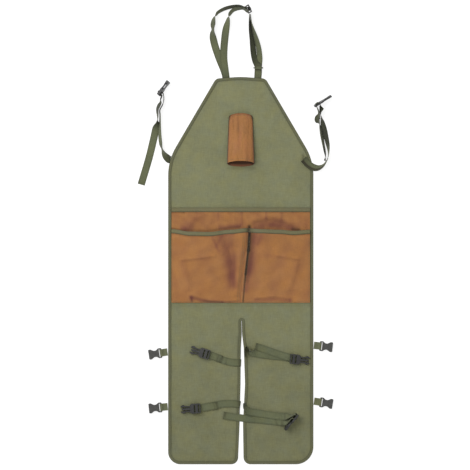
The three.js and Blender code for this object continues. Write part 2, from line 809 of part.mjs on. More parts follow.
const layer = webbingThickness + clearance;
const layerLift = layer / webbingThickness;
const towardNeck = new THREE.Vector2(0, 1);

// The end of a strap that is sewn into the edge: two stations square to the edge, the outer one last
function sewnEnd({ point, outward }, length, clear = 0, roll = 0) {
  return [clearance * 1.2, length].map((away) => {
    const place = point.clone().addScaledVector(outward, away);
    return { x: place.x, y: place.y, clear, roll };
  });
}

// Neck strap: the sewn run on the left, its loose tail beside it, and the doubled run on the right

const neckLeft = new THREE.Vector2(-bibTopWidth / 2 + neckStrapInset, halfLength);
const neckRight = new THREE.Vector2(bibTopWidth / 2 - neckTabInset, halfLength);
const neckStrapEdge = edgeNear(neckLeft.x, neckLeft.y);
const neckTabEdge = edgeNear(neckRight.x, neckRight.y);

const neckStrapRows = [
  { along: 0.1, aside: -0.22, roll: 0 },
  { along: 0.24, aside: -0.78, roll: 0 },
  { along: 0.39, aside: -1.3, roll: 0 },
  { along: 0.51, aside: -1.62, roll: 12 },
  { along: 0.59, aside: -1.74, roll: 40 },
  { along: 0.66, aside: -1.72, roll: 70 },
  { along: 0.74, aside: -1.7, roll: 50 },
  { along: 0.83, aside: -1.52, roll: 74 },
  { along: 0.868, aside: -1.27, roll: 102 },
  { along: 0.905, aside: -0.98, roll: 110 },
  { along: 0.955, aside: -0.06, roll: 114 },
  { along: 0.985, aside: 1.1, roll: 112 },
  { along: 0.99, aside: 2.1, roll: 102 },
];

const neckTailRows = [
  { along: 0.955, aside: 2.45, roll: 76 },
  { along: 0.958, aside: 1.85, roll: 68 },
  { along: 0.932, aside: 1.05, roll: 64 },
  { along: 0.868, aside: 0.52, roll: 72 },
  { along: 0.83, aside: 0.43, roll: 104 },
  { along: 0.77, aside: 0.32, roll: 128 },
  { along: 0.66, aside: 0.07, roll: 162 },
  { along: 0.52, aside: -0.1, roll: 180, lift: 0.6 },
  { along: 0.38, aside: -0.21, roll: 180, lift: layerLift },
  { along: 0.24, aside: -0.22, roll: 180, lift: layerLift },
  { along: 0.1, aside: -0.06, roll: 180, lift: layerLift },
];

const glide = {
  x: neckLeft.x + 2.97 * webbingWidth,
  y: neckLeft.y + 1.005 * neckStrapReach,
  heading: -64,
  roll: 70,
};
const neckGlide = settle(mesh('neck_glide', glideGeometry(), 'plastic'), glide);

apron.add(
  neckGlide,
  ribbon('neck_strap', [
    ...sewnEnd(neckStrapEdge, sewnLength),
    ...stationsOf(neckStrapRows, neckLeft, neckStrapReach, towardNeck),
    ...throughSlots(neckGlide, glide.roll, glideThickness, glideSlots),
    ...stationsOf(neckTailRows, neckLeft, neckStrapReach, towardNeck),
    ...sewnEnd(neckStrapEdge, sewnLength, layer, 180).reverse(),
  ]),
);

// Ring on the right: it stands on its long side, the tab round its lower bar, the strap round its upper
const ringY = neckRight.y + neckTabLength;
const ringWidth = webbingWidth + 2 * clearance + 2 * ringWire;
const wrap = ringWire * 0.62 + clearance + webbingThickness / 2;
const lowerBarZ = wrap + webbingThickness / 2 + clearance;
const ringFloor = lowerBarZ - ringWire / 2;
const upperBarZ = ringFloor + ringHeight - ringWire / 2;

// A ribbon that runs over a bar lying along X, half way round it and back below it
function aroundBar(x, y, z, facing) {
  const turns = [90, 45, 0, -45, -90].map((angle) => THREE.MathUtils.degToRad(angle));
  const bend = turns.map((turn) => ({
    x,
    y: y + facing * wrap * Math.cos(turn),
    clear: z + wrap * Math.sin(turn) - webbingThickness / 2,
    roll: 0,
  }));
  const lead = y - facing * ringWire;
  return [{ ...bend[0], y: lead }, ...bend, { ...bend.at(-1), y: lead }];
}

const neckLoopDown = [
  { along: 0.925, aside: -1.22, roll: -88 },
  { along: 0.78, aside: -1.2, roll: -80 },
  { along: 0.68, aside: -1.13, roll: -71 },
  { along: 0.585, aside: -1.02, roll: -62 },
  { along: 0.49, aside: -0.88, roll: -53 },
  { along: 0.39, aside: -0.78, roll: -45 },
  { along: 0.295, aside: -0.69, roll: -39 },
  { along: 0.19, aside: -0.56, roll: -36, lift: 1 },
  { along: 0.09, aside: -0.26, roll: -14, lift: 4 },
];
const neckLoopUp = [
  { along: 0.09, aside: 0.06, roll: 12, lift: 2 },
  { along: 0.19, aside: 0.18, roll: 40, lift: 1 },
  { along: 0.295, aside: 0.1, roll: 44 },
  { along: 0.39, aside: -0.05, roll: 46 },
  { along: 0.49, aside: -0.26, roll: 53 },
  { along: 0.585, aside: -0.51, roll: 60 },
  { along: 0.68, aside: -0.78, roll: 70 },
  { along: 0.78, aside: -0.98, roll: 80 },
  { along: 0.92, aside: -1.06, roll: 88 },
];
const ringPlace = new THREE.Vector2(neckRight.x, ringY);
const acrossX = new THREE.Vector3(1, 0, 0);
apron.add(
  ribbon('neck_strap_loop', [
    ...stationsOf(neckLoopDown, ringPlace, neckLoopReach, towardNeck, clearance),
    ...aroundBar(neckRight.x, ringY, upperBarZ, -1),
    ...stationsOf(neckLoopUp, ringPlace, neckLoopReach, towardNeck, clearance),
  ], acrossX),
  ribbon('neck_tab', [
    ...sewnEnd(neckTabEdge, sewnLength, layer),
    ...aroundBar(neckRight.x, ringY, lowerBarZ, 1),
    { x: neckRight.x, y: mix(neckRight.y, ringY, 0.5), clear: 0, roll: 0 },
    ...sewnEnd(neckTabEdge, sewnLength).reverse(),
  ], acrossX),
);

function makeRing() {
  const half = ringWidth / 2;
  const contour = [[0, -half], [ringHeight, -half], [ringHeight, half], [0, half]];
  const window = through(ringWire, ringHeight - ringWire, slotHalf);
  const ring = mesh('neck_ring', cut(plate(contour, ringWire, 0.6), [window]), 'plastic');
  const upright = new THREE.Matrix4().makeBasis(up, acrossX, new THREE.Vector3(0, 1, 0));
  ring.quaternion.setFromRotationMatrix(upright);
  ring.position.set(neckRight.x, ringY - ringWire / 2, ringFloor);
  return ring;
}

apron.add(makeRing());

// Waist straps: each leaves the edge of the body, runs up to a buckle and comes back as a loose tail

const waistY = hemY + waistStrapHeight;
const waistLeft = new THREE.Vector2(-bodyWidth / 2, waistY);
const waistRight = new THREE.Vector2(bodyWidth / 2, waistY);

const waistLeftRows = [
  { along: 0.11, aside: -0.48, roll: 46 },
  { along: 0.195, aside: -0.82, roll: 80 },
  { along: 0.277, aside: -1.0, roll: 66 },
  { along: 0.413, aside: -1.12, roll: 66 },
  { along: 0.55, aside: -1.12, roll: 74 },
  { along: 0.66, aside: -1.1, roll: 80 },
  { along: 0.74, aside: -1.1, roll: 82 },
  { along: 0.82, aside: -1.12, roll: 82 },
  { along: 0.9, aside: -0.76, roll: 84 },
  { along: 0.98, aside: -0.58, roll: 92, lift: 1 },
];
const waistLeftTail = [
  { along: 0.98, aside: -1.02, roll: 88, lift: 1 },
  { along: 0.94, aside: -1.02, roll: 106 },
  { along: 0.89, aside: -1.26, roll: 116 },
  { along: 0.826, aside: -1.46, roll: 110 },
  { along: 0.71, aside: -1.42, roll: 98 },
  { along: 0.643, aside: -1.46, roll: 84 },
  { along: 0.6, aside: -1.5, roll: 56 },
  { along: 0.52, aside: -1.68, roll: 16 },
  { along: 0.34, aside: -2.02, roll: 0 },
  { along: 0.05, aside: -2.63, roll: 0 },
  { along: -0.37, aside: -3.7, roll: 0 },
];
const waistRightRows = [
  { along: 0.036, aside: -1.36, roll: 20, lift: 3.1 },
  { along: -0.048, aside: -0.67, roll: 12, lift: 3.1 },
  { along: -0.1, aside: 0.1, roll: 20, lift: 3.1 },
  { along: -0.1, aside: 0.8, roll: 48, lift: 1 },
  { along: -0.055, aside: 1.42, roll: 74 },
  { along: 0.03, aside: 1.9, roll: 88 },
  { along: 0.1, aside: 2.06, roll: 94 },
  { along: 0.18, aside: 2.06, roll: 106 },
  { along: 0.272, aside: 1.955, roll: 121 },
  { along: 0.387, aside: 1.74, roll: 130 },
  { along: 0.5, aside: 1.55, roll: 130 },
  { along: 0.6, aside: 1.28, roll: 129 },
  { along: 0.68, aside: 1.12, roll: 104 },
  { along: 0.77, aside: 0.98, roll: 84 },
  { along: 0.85, aside: 1.12, roll: 58 },
];
const waistRightTail = [
  { along: 0.8, aside: 0.7, roll: 98 },
  { along: 0.75, aside: 0.75, roll: 106 },
  { along: 0.67, aside: 0.545, roll: 140 },
  { along: 0.63, aside: 0.71, roll: 110 },
  { along: 0.59, aside: 0.85, roll: 88 },
  { along: 0.54, aside: 0.96, roll: 74 },
  { along: 0.48, aside: 1.07, roll: 66 },
  { along: 0.4, aside: 1.18, roll: 64.5 },
  { along: 0.295, aside: 1.33, roll: 70 },
  { along: 0.16, aside: 1.55, roll: 75 },
  { along: 0.09, aside: 1.63, roll: 84 },
  { along: 0.01, aside: 1.56, roll: 104 },
];

const waistReceptacle = {
  x: waistLeft.x - 1.47 * webbingWidth,
  y: waistLeft.y + 1.065 * waistStrapReach,
  heading: 54,
  roll: 81,
};
const waistPlug = {
  x: waistRight.x + 0.06 * webbingWidth,
  y: waistRight.y + 0.885 * waistStrapReach,
  heading: 32,
  roll: 99,
};
const leftBuckle = settle(
  mesh('waist_receptacle', receptacleGeometry(adjusterLength), 'plastic'),
  waistReceptacle,
);
const rightBuckle = settle(mesh('waist_plug', plugGeometry(), 'plastic'), waistPlug);

apron.add(
  leftBuckle,
  rightBuckle,
  ribbon('waist_strap_left', [
    ...sewnEnd(edgeNear(waistLeft.x, waistLeft.y + 0.04 * waistStrapReach), sewnLength),
    ...stationsOf(waistLeftRows, waistLeft, waistStrapReach, towardNeck),
    ...throughSlots(leftBuckle, waistReceptacle.roll, receptacleThickness, [...receptacleSlots].reverse()),
    ...stationsOf(waistLeftTail, waistLeft, waistStrapReach, towardNeck),
  ]),
  ribbon('waist_strap_right', [
    ...stationsOf(waistRightRows, waistRight, waistStrapReach, towardNeck),
    ...throughSlots(rightBuckle, waistPlug.roll, plugThickness, [...plugSlots].reverse()),
    ...stationsOf(waistRightTail, waistRight, waistStrapReach, towardNeck),
  ]),
);

// Side tabs on the outer edges of the legs, each with a receptacle, and how far each sits above or
// below the strap that it belongs to
const sideTabs = [
  { name: 'upper_left', side: -1, strapHeight: legStrapHeightUpper, above: 3, lean: 9 },
  { name: 'lower_left', side: -1, strapHeight: legStrapHeightLower, above: -2, lean: 6 },
  { name: 'upper_right', side: 1, strapHeight: legStrapHeightUpper, above: 21, lean: 6 },
  { name: 'lower_right', side: 1, strapHeight: legStrapHeightLower, above: 13, lean: 9 },
];

// A tab is a flat strap folded round the receptacle's bar and sewn to itself
const eye = barThickness / 2 + 3 * clearance;
const rim = eye + webbingThickness;

function tabGeometry() {
  const flat = 2 * webbingThickness;
  const shape = new THREE.Shape();
  const knee = Math.asin((rim - flat) / rim);
  const reach = sideTabLength - rim;
  shape.moveTo(0, 0);
  shape.lineTo(reach, 0);
  shape.absarc(reach, rim, rim, -Math.PI / 2, Math.PI - knee, false);
  shape.lineTo(reach - rim * 2.2, flat);
  shape.lineTo(0, flat);
  shape.closePath();
  const hole = new THREE.Path();
  hole.absarc(reach, rim, eye, 0, 2 * Math.PI, true);
  shape.holes.push(hole);
  const geometry = new THREE.ExtrudeGeometry(shape, { depth: webbingWidth, bevelEnabled: false, curveSegments: 4 });
  return geometry.rotateX(Math.PI / 2).translate(0, webbingWidth / 2, 0);
}

sideTabs.forEach(({ name, side, strapHeight, above, lean }) => {
  const fastener = new THREE.Group();
  const tab = mesh(`side_tab_${name}`, tabGeometry(), 'webbing');
  const receptacle = mesh(`side_receptacle_${name}`, receptacleGeometry(0), 'plastic');
  receptacle.position.set(sideTabLength - rim - barDepth / 2, 0, 0);
  tab.position.z = receptacleThickness / 2 - rim;
  fastener.add(tab, receptacle);
  const turn = THREE.MathUtils.degToRad(lean);
  const reach = bodyWidth / 2 + clearance + Math.sin(turn) * (webbingWidth / 2);
  fastener.position.set(side * reach, hemY + strapHeight + above, 0);
  fastener.rotation.z = side > 0 ? -turn : Math.PI + turn;
  apron.add(fastener);
});

// Leg straps: sewn beside the slit, lying on the legs, each with a plug and a folded-back tail.
// share is its reach as a share of half the body's width. Rows are the run out to the fold, tail the run
// back, and lift counts layers of edge tape below it.
const legStraps = [
  {
    name: 'upper_left',
    side: -1,
    height: legStrapHeightUpper,
    share: 0.584,
    rows: [
      { along: 0, aside: -1.36, roll: 0, lift: 1 },
      { along: 0.2, aside: -1.3, roll: 0, lift: 0.4 },
      { along: 0.44, aside: -0.96, roll: 0 },
      { along: 0.71, aside: -0.32, roll: 0 },
      { along: 0.89, aside: -0.05, roll: 0 },
    ],
    tail: [
      { along: 0.89, aside: -0.05, roll: 0 },
      { along: 0.71, aside: -0.34, roll: 0 },
      { along: 0.46, aside: -0.86, roll: 0 },
    ],
    plug: { along: 0.745, aside: -0.27, heading: 164, tip: 7 },
  },
  {
    name: 'upper_right',
    side: 1,
    height: legStrapHeightUpper,
    share: 0.804,
    rows: [
      { along: 0.02, aside: -0.5, roll: 88, lift: 1 },
      { along: 0.01, aside: 0.34, roll: 88, lift: 1 },
      { along: 0.045, aside: 0.95, roll: 88, lift: 1 },
      { along: 0.09, aside: 0.6, roll: 80, lift: 1 },
      { along: 0.125, aside: 0.12, roll: 40, lift: 0.4 },
      { along: 0.23, aside: -0.1, roll: 0 },
      { along: 0.4, aside: -0.32, roll: 0 },
      { along: 0.67, aside: -0.55, roll: 0 },
      { along: 0.9, aside: -0.82, roll: 0 },
    ],
    tail: [
      { along: 0.9, aside: -0.82, roll: 0 },
      { along: 0.67, aside: -0.36, roll: 0 },
      { along: 0.5, aside: 0.1, roll: 0 },
      { along: 0.32, aside: 0.6, roll: 0 },
      { along: 0.2, aside: 0.9, roll: 0 },
    ],
    plug: { along: 0.79, aside: -0.77, heading: -6, tip: 7 },
  },
  {
    name: 'lower_left',
    side: -1,
    height: legStrapHeightLower,
    share: 0.69,
    rows: [
      { along: 0, aside: 0.16, roll: 0, lift: 1 },
      { along: 0.17, aside: 0.32, roll: 0, lift: 0.4 },
      { along: 0.36, aside: 0.26, roll: 0 },
      { along: 0.56, aside: 0.03, roll: 0 },
      { along: 0.73, aside: -0.2, roll: 0 },
      { along: 0.91, aside: -0.37, roll: 0 },
    ],
    tail: [
      { along: 0.91, aside: -0.37, roll: 0 },
      { along: 0.73, aside: -0.22, roll: 0 },
      { along: 0.58, aside: -0.06, roll: 0 },
      { along: 0.45, aside: 0.04, roll: 0 },
    ],
    plug: { along: 0.795, aside: -0.3, heading: 184, tip: 7 },
  },
  {
    name: 'lower_right',
    side: 1,
    height: legStrapHeightLower,
    share: 0.744,
    standing: true,
    rows: [
      { along: 0.02, aside: 0.42, roll: 70, lift: 1 },
      { along: 0.03, aside: -0.2, roll: 60, lift: 1 },
      { along: 0.1, aside: -0.75, roll: 14, lift: 1 },
      { along: 0.23, aside: -0.93, roll: 0, lift: 0.6 },
      { along: 0.46, aside: -1.22, roll: 0 },
      { along: 0.72, aside: -1.45, roll: 0 },
      { along: 0.84, aside: -1.38, roll: 58 },
      { along: 0.92, aside: -1.25, roll: 86 },
    ],
    tail: [
      { along: 0.84, aside: -1.93, roll: 118 },
      { along: 0.74, aside: -2.2, roll: 168 },
      { along: 0.5, aside: -2.05, roll: 180 },
      { along: 0.25, aside: -1.86, roll: 180, lift: 0.4 },
      { along: 0.04, aside: -1.72, roll: 180, lift: 1 },
      { along: -0.14, aside: -1.56, roll: 180, lift: 1 },
      { along: -0.37, aside: -1.3, roll: 180, lift: 0.2 },
    ],
    plug: { along: 1.01, aside: -1.18, heading: 231, roll: 78 },
  },
];

legStraps.forEach(({ name, side, height, share: reachShare, rows, tail, plug, standing }) => {
  const reach = (reachShare * bodyWidth) / 2;
  const origin = new THREE.Vector2(slitEdgeAt(side > 0 ? 'right' : 'left', height), hemY + height);
  const place = (row) => ({
    x: origin.x + side * row.along * reach,
    y: origin.y + row.aside * webbingWidth,
  });
  const floor = frontFace + clearance;
  const overTape = edgeTop - frontFace;
  const [outLayer, backLayer] = standing ? [layer, 0] : [0, layer];
  const station = (row, level) => ({
    ...place(row),
    clear: floor + level + (row.lift ?? 0) * overTape,
    roll: row.roll,
  });
  const end = rows.at(-1);
  const fold = [0.25, 0.5, 0.75].map((share) => ({
    ...place({ along: end.along + (Math.sin(share * Math.PI) * layer) / 2 / reach, aside: end.aside }),
    clear: floor + mix(outLayer, backLayer, (1 - Math.cos(share * Math.PI)) / 2),
    roll: 0,
  }));
  const plugPlace = { ...place(plug), heading: plug.heading, roll: plug.roll, tip: plug.tip, height: floor };
  const buckle = settle(mesh(`leg_plug_${name}`, plugGeometry(), 'plastic'), plugPlace);
  const bend = standing ? throughSlots(buckle, plug.roll, plugThickness, plugSlots) : fold;
  const stations = [
    ...rows.map((row) => station(row, outLayer)),
    ...bend,
    ...tail.map((row) => station(row, backLayer)),
  ];
  const across = standing ? null : new THREE.Vector3(0, side, 0);
  apron.add(ribbon(`leg_strap_${name}`, stations, across), buckle);
});

export default apron;
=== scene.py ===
"""Looks of the gardening leg apron. Lengths in this file are millimetres until a mesh is made."""
import math

import bpy
import numpy as np
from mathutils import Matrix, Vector, geometry


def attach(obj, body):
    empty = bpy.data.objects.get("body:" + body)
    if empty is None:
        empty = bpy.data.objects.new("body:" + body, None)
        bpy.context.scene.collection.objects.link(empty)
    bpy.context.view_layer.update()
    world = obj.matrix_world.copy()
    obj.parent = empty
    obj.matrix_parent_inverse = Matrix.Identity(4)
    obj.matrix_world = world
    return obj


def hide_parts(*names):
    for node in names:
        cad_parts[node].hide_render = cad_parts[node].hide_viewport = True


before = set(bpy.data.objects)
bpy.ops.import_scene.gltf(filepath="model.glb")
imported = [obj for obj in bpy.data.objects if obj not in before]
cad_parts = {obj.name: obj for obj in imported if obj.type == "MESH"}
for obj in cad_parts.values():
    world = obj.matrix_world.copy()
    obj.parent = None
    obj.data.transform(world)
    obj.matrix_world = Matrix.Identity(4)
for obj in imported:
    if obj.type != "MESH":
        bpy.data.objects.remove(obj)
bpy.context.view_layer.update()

MM = 0.001
CLEARANCE = 0.3

# Body and the tape round it
BODY_WIDTH = 398.0
BODY_LENGTH = 1062.0
HALF_WIDTH = BODY_WIDTH / 2
HALF_LENGTH = BODY_LENGTH / 2
HEM_Y = -HALF_LENGTH
BIB_TOP_WIDTH = 136.0
BIB_TOP_RISE = 5.0
BIB_ARCH_RADIUS = 260.0
BIB_CORNER_RADIUS = 17.0
SLOPE_RADIUS = 155.0
HEM_LEFT_RADIUS = 34.0
HEM_RIGHT_RADIUS = 48.0
SLIT_CORNER_RADIUS = 19.0
BIB_SLOPE_LENGTH = 229.0
SLIT_LENGTH = 393.0
SLIT_HEM_WIDTH = 15.0
SLIT_TOP_RADIUS = 0.45 * 0.05 * SLIT_HEM_WIDTH
SLIT_BEND_RADIUS = 150.0
SLIT_UP = (0, 0.28, 0.56, 0.81, 0.91, 1)
SLIT_LEFT = (-0.5, -0.13, 0.05, 0.08, 0.185, 0.125)
SLIT_RIGHT = (0.5, 0.32, 0.69, 0.5, 0.235, 0.175)
SLIT_EASE = (0.03, 0.09, 0.09, 0.06, 0.0, 0.0)
FRONT_FACE = 2.6
TAPE = 0.8
TAPE_WIDTH = 8.4
EDGE_TOP = FRONT_FACE + CLEARANCE + TAPE

# Pockets
WALL = 1.2
POCKET_HEM = HEM_Y + 443
BACK_DEPTH = 260.0
BACK_GAPE = 7.0
FRONT_DEPTH = 204.0
FRONT_GAPE = 13.0
SEAM_LEAN = 17.0
MOUTH_TAPE = 12.0
POCKET_SIDE = 9.0
POCKET_HALF = HALF_WIDTH - POCKET_SIDE - CLEARANCE
MOUTH_ROOM = TAPE + 2 * CLEARANCE
MOUTH_RISE = 30.0

# Webbing, buckles and where they sit
WEB_WIDTH = 20.0
WEB_THICK = 1.3
LAYER = WEB_THICK + CLEARANCE
WAIST_REACH = 172.0
NECK_REACH = 195.0
LOOP_REACH = 160.0
BAR = 3.0
SLOT = 4.0
SLOT_LEAD = 3.0
MIDDLE_BAR = 7.0
GLIDE_LENGTH = 23.0
GLIDE_THICK = 3.0
PLUG_THICK = 4.4
RECEPTACLE_THICK = 7.8
RING_WIRE = 3.0
RING_HEIGHT = 12.6
SEWN = 5.0

# The photo's scale and the place of its pixels on the laid apron
PIXEL = 2.74
MIDDLE_PIXEL = (240.75, 270.5)
PHOTO_SIZE = 470


def spot(across, down):
    """Place on the apron of a pixel of the photo."""
    return ((across - MIDDLE_PIXEL[0]) * PIXEL, (MIDDLE_PIXEL[1] - down) * PIXEL)


# Shared maths

def smooth(value):
    t = np.clip(value, 0, 1)
    return t * t * (3 - 2 * t)


def mix(a, b, t):
    return a + (b - a) * t


def lengths(line):
    """How far along a line each of its points lies."""
    return np.concatenate([[0], np.cumsum(np.linalg.norm(np.diff(line, axis=0), axis=1))])


def shares(columns, rows, low=0):
    """Places across a grid, as a column, and along it, as a row."""
    return np.linspace(low, 1, columns + 1)[:, None], np.linspace(0, 1, rows + 1)[None, :]


def away_from(x, y, path):
    """Distance of points from a line of places."""
    best = np.full(np.shape(x), 1e9)
    for (x0, y0), (x1, y1) in zip(path, path[1:]):
        run_x, run_y = x1 - x0, y1 - y0
        t = np.clip(((x - x0) * run_x + (y - y0) * run_y) / (run_x ** 2 + run_y ** 2 + 1e-9), 0, 1)
        best = np.minimum(best, np.hypot(x - x0 - t * run_x, y - y0 - t * run_y))
    return best


def ridge(x, y, path, spread):
    """1 on a line of photo places, falling away over the spread."""
    away = away_from(x, y, [spot(*place) for place in path]) / spread
    return np.exp(-away * away)


def drawn(x, y, lines):
    """Sum of ridges, each given as (strength, spread, photo places)."""
    return sum(strength * ridge(x, y, path, spread) for strength, spread, path in lines)


def ripples(x, y, seed, count, shortest, longest):
    """Smooth unevenness of about unit height."""
    rng = np.random.default_rng(seed)
    total = np.zeros(np.shape(x))
    for _ in range(count):
        wave = 2 * math.pi / rng.uniform(shortest, longest)
        angle, phase, bend = rng.uniform(0, 2 * math.pi, 3)
        along = x * math.cos(angle) + y * math.sin(angle)
        aside = y * math.cos(angle) - x * math.sin(angle)
        total += np.sin(wave * along + phase + 0.8 * np.sin(0.45 * wave * aside + bend))
    return total / math.sqrt(count)


# Materials

class Nodes:
    """A material's node tree, with short ways to add to it."""

    def __init__(self, name, roughness):
        self.material = bpy.data.materials.new(name)
        self.material.use_nodes = True
        self.tree = self.material.node_tree
        self.shader = self.tree.nodes["Principled BSDF"]
        self.shader.inputs["Roughness"].default_value = roughness

    def add(self, kind, settings=None, **inputs):
        node = self.tree.nodes.new(kind)
        for key, value in (settings or {}).items():
            setattr(node, key, value)
        for key, value in inputs.items():
            self.put(node.inputs[key.replace("_", " ")], value)
        return node

    def put(self, socket, value):
        if isinstance(value, bpy.types.NodeSocket):
            self.tree.links.new(value, socket)
        else:
            socket.default_value = value

    def maths(self, operation, first, second=0.0):
        node = self.add("ShaderNodeMath", {"operation": operation})
        self.put(node.inputs[0], first)
        self.put(node.inputs[1], second)
        return node.outputs[0]

    def spread(self, value, low, high):
        """A value of 0 to 1 carried over to low to high."""
        node = self.add("ShaderNodeMapRange")
        self.put(node.inputs["Value"], value)
        node.inputs["To Min"].default_value = low
        node.inputs["To Max"].default_value = high
        return node.outputs[0]

    def blend(self, kind, factor, first, second):
        node = self.add("ShaderNodeMix", {"data_type": "RGBA", "blend_type": kind})
        self.put(node.inputs["Factor"], factor)
        self.put(node.inputs[6], first)
        self.put(node.inputs[7], second)
        return node.outputs[2]

    def noise(self, place, scale, detail=2.0, rough=0.5):
        node = self.add("ShaderNodeTexNoise", Vector=place, Scale=scale, Detail=detail, Roughness=rough)
        return node.outputs["Fac"]

    def stretched(self, place, scale):
        return self.add("ShaderNodeMapping", Vector=place, Scale=scale).outputs[0]

    def bands(self, place, direction, pitch):
        settings = {"wave_type": "BANDS", "bands_direction": direction, "wave_profile": "SIN"}
        scale = 1 / pitch * 0.31416
        return self.add("ShaderNodeTexWave", settings, Vector=place, Scale=scale).outputs["Fac"]

    def attribute(self, name):
        return self.add("ShaderNodeAttribute", {"attribute_name": name}).outputs["Fac"]


def linear(red, green, blue):
    """Linear colour of an sRGB colour of 0 to 255."""
    def one(value):
        share = value / 255
        return share / 12.92 if share <= 0.04045 else ((share + 0.055) / 1.055) ** 2.4
    return (one(red), one(green), one(blue), 1.0)


def cloth(name, colour, shade, yarn, mottle=0.16, grain=0.16, bump=0.35, sheen=0.12, follows_uv=False):
    """Woven cloth: uneven dye, slubs along both threads, and a weave in the bump. Three numbers on the mesh
    colour it further: tone brightens or darkens it, with random tone and in places painted light and shade;
    shade is painted shade, turning it toward its shade colour in folds; and gap is painted shade, turning it
    toward near-black in narrow openings."""
    n = Nodes(name, 0.92)
    coordinates = n.add("ShaderNodeTexCoord")
    place = coordinates.outputs["UV" if follows_uv else "Object"]
    broad = n.noise(place, 14.0, 3.0, 0.6)
    middle = n.noise(place, 85.0, 3.0, 0.65)
    along = n.noise(n.stretched(place, (900.0, 70.0, 300.0)), 1.0, 2.0)
    across = n.noise(n.stretched(place, (70.0, 900.0, 300.0)), 1.0, 2.0)
    uneven = n.maths("ADD", n.spread(broad, -mottle, mottle), n.spread(middle, -mottle / 2, mottle / 2))
    threads = n.maths("ADD", n.spread(along, -grain, grain), n.spread(across, -grain, grain))
    # The tone number holds random tone and also painted light and shade
    value = n.maths("ADD", n.maths("ADD", uneven, threads), n.attribute("tone"))
    tint = n.noise(place, 30.0, 2.0)
    warm = tuple(min(1.0, c * k) for c, k in zip(colour[:3], (1.06, 1.03, 0.9))) + (1.0,)
    cool = tuple(min(1.0, c * k) for c, k in zip(colour[:3], (0.96, 0.99, 1.08))) + (1.0,)
    dyed = n.blend("MIX", n.spread(tint, -0.4, 1.4), warm, cool)
    # Painted shade: the shade number turns the colour toward the shade colour
    folded = n.blend("MIX", n.attribute("shade"), dyed, shade)
    level = n.add("ShaderNodeCombineColor")
    for channel in ("Red", "Green", "Blue"):
        n.put(level.inputs[channel], value)
    coloured = n.blend("MULTIPLY", 1.0, folded, level.outputs[0])
    # Painted shade: the gap number turns the colour toward near-black
    gap_shaded = n.blend("MIX", n.attribute("gap"), coloured, (0.022, 0.014, 0.009, 1.0))
    n.put(n.shader.inputs["Base Color"], gap_shaded)
    warp = n.bands(place, "X", yarn * MM)
    weft = n.bands(place, "Y", yarn * MM)
    weave = n.maths("MULTIPLY", warp, weft)
    height = n.maths("ADD", weave, n.maths("MULTIPLY", middle, 0.8))
    height = n.maths("ADD", height, n.maths("MULTIPLY", n.noise(place, 420.0, 3.0, 0.7), 1.2))
    relief = n.add("ShaderNodeBump", Height=height, Strength=bump, Distance=0.0005)
    n.put(n.shader.inputs["Normal"], relief.outputs[0])
    n.put(n.shader.inputs["Roughness"], n.spread(middle, 0.82, 0.98))
    n.shader.inputs["Sheen Weight"].default_value = sheen
    n.shader.inputs["Sheen Roughness"].default_value = 0.5
    n.shader.inputs["Specular IOR Level"].default_value = 0.2
    return n.material


def plastic(name, colour, scuffed):
    """Moulded plastic: satin, slightly uneven, rubbed paler in places."""
    n = Nodes(name, 0.42)
    place = n.add("ShaderNodeTexCoord").outputs["Object"]
    wear = n.noise(place, 160.0, 4.0, 0.7)
    worn = n.blend("MIX", n.spread(wear, -0.3, 0.9), colour, scuffed)
    n.put(n.shader.inputs["Base Color"], worn)
    n.put(n.shader.inputs["Roughness"], n.spread(n.noise(place, 300.0, 3.0), 0.32, 0.55))
    grain = n.noise(place, 1400.0, 2.0)
    relief = n.add("ShaderNodeBump", Height=grain, Strength=0.12, Distance=0.0003)
    n.put(n.shader.inputs["Normal"], relief.outputs[0])
    return n.material


CANVAS = cloth("canvas", linear(116, 117, 88), linear(62, 62, 44), 0.9)
BINDING = cloth("binding_tape", linear(93, 94, 71), linear(54, 55, 40), 1.3, mottle=0.12, grain=0.1)
RUST = cloth("rust_canvas", linear(153, 106, 63), linear(113, 68, 55), 0.7, mottle=0.1, grain=0.12)
RIM = cloth("pocket_tape", linear(106, 103, 76), linear(66, 56, 42), 1.2, mottle=0.1, grain=0.1)
WEBBING = cloth("webbing", linear(94, 98, 73), linear(44, 46, 33), 1.5, mottle=0.2, grain=0.22, bump=0.6,
                follows_uv=True)
TAB = cloth("tab_webbing", linear(101, 104, 77), linear(44, 46, 32), 1.5, mottle=0.2, grain=0.22, bump=0.6)
THREAD = cloth("thread", linear(96, 98, 72), linear(60, 60, 44), 0.5, mottle=0.1, grain=0.1)
BUCKLE = plastic("buckle_plastic", linear(44, 44, 42), linear(84, 84, 80))
DARK_BUCKLE = plastic("dark_plastic", linear(18, 18, 18), linear(56, 56, 53))

# Shared makers


def give_numbers(mesh, tone=1.0, shade=0.0, gap=0.0):
    """The three numbers per point that colour a cloth."""
    for key, value in (("tone", tone), ("shade", shade), ("gap", gap)):
        made = mesh.attributes.new(key, "FLOAT", "POINT")
        values = np.broadcast_to(value, len(mesh.vertices)).astype(np.float32)
        made.data.foreach_set("value", values.copy())


def piece(name, points, faces, material, stands_for=(), uv=None, tone=1.0, shade=0.0, gap=0.0,
          crease=35):
    """A mesh that rides on the apron. tone, shade and gap are numbers per point for its cloth."""
    points = np.asarray(points, float)
    mesh = bpy.data.meshes.new(name)
    mesh.from_pydata((points * MM).tolist(), [], [tuple(int(i) for i in face) for face in faces])
    mesh.materials.append(material)
    give_numbers(mesh, tone, shade, gap)
    if uv is not None:
        corners = np.zeros(len(mesh.loops), np.int64)
        mesh.loops.foreach_get("vertex_index", corners)
        layer = mesh.uv_layers.new(name="UVMap")
        layer.data.foreach_set("uv", (np.asarray(uv)[corners] * MM).astype(np.float32).ravel())
    mesh.polygons.foreach_set("use_smooth", np.ones(len(mesh.polygons), bool))
    mesh.set_sharp_from_angle(angle=math.radians(crease))
    mesh.update()
    made = bpy.data.objects.new(name, mesh)
    bpy.context.scene.collection.objects.link(made)
    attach(made, "root")
    if stands_for:
        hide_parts(*stands_for)
    return made


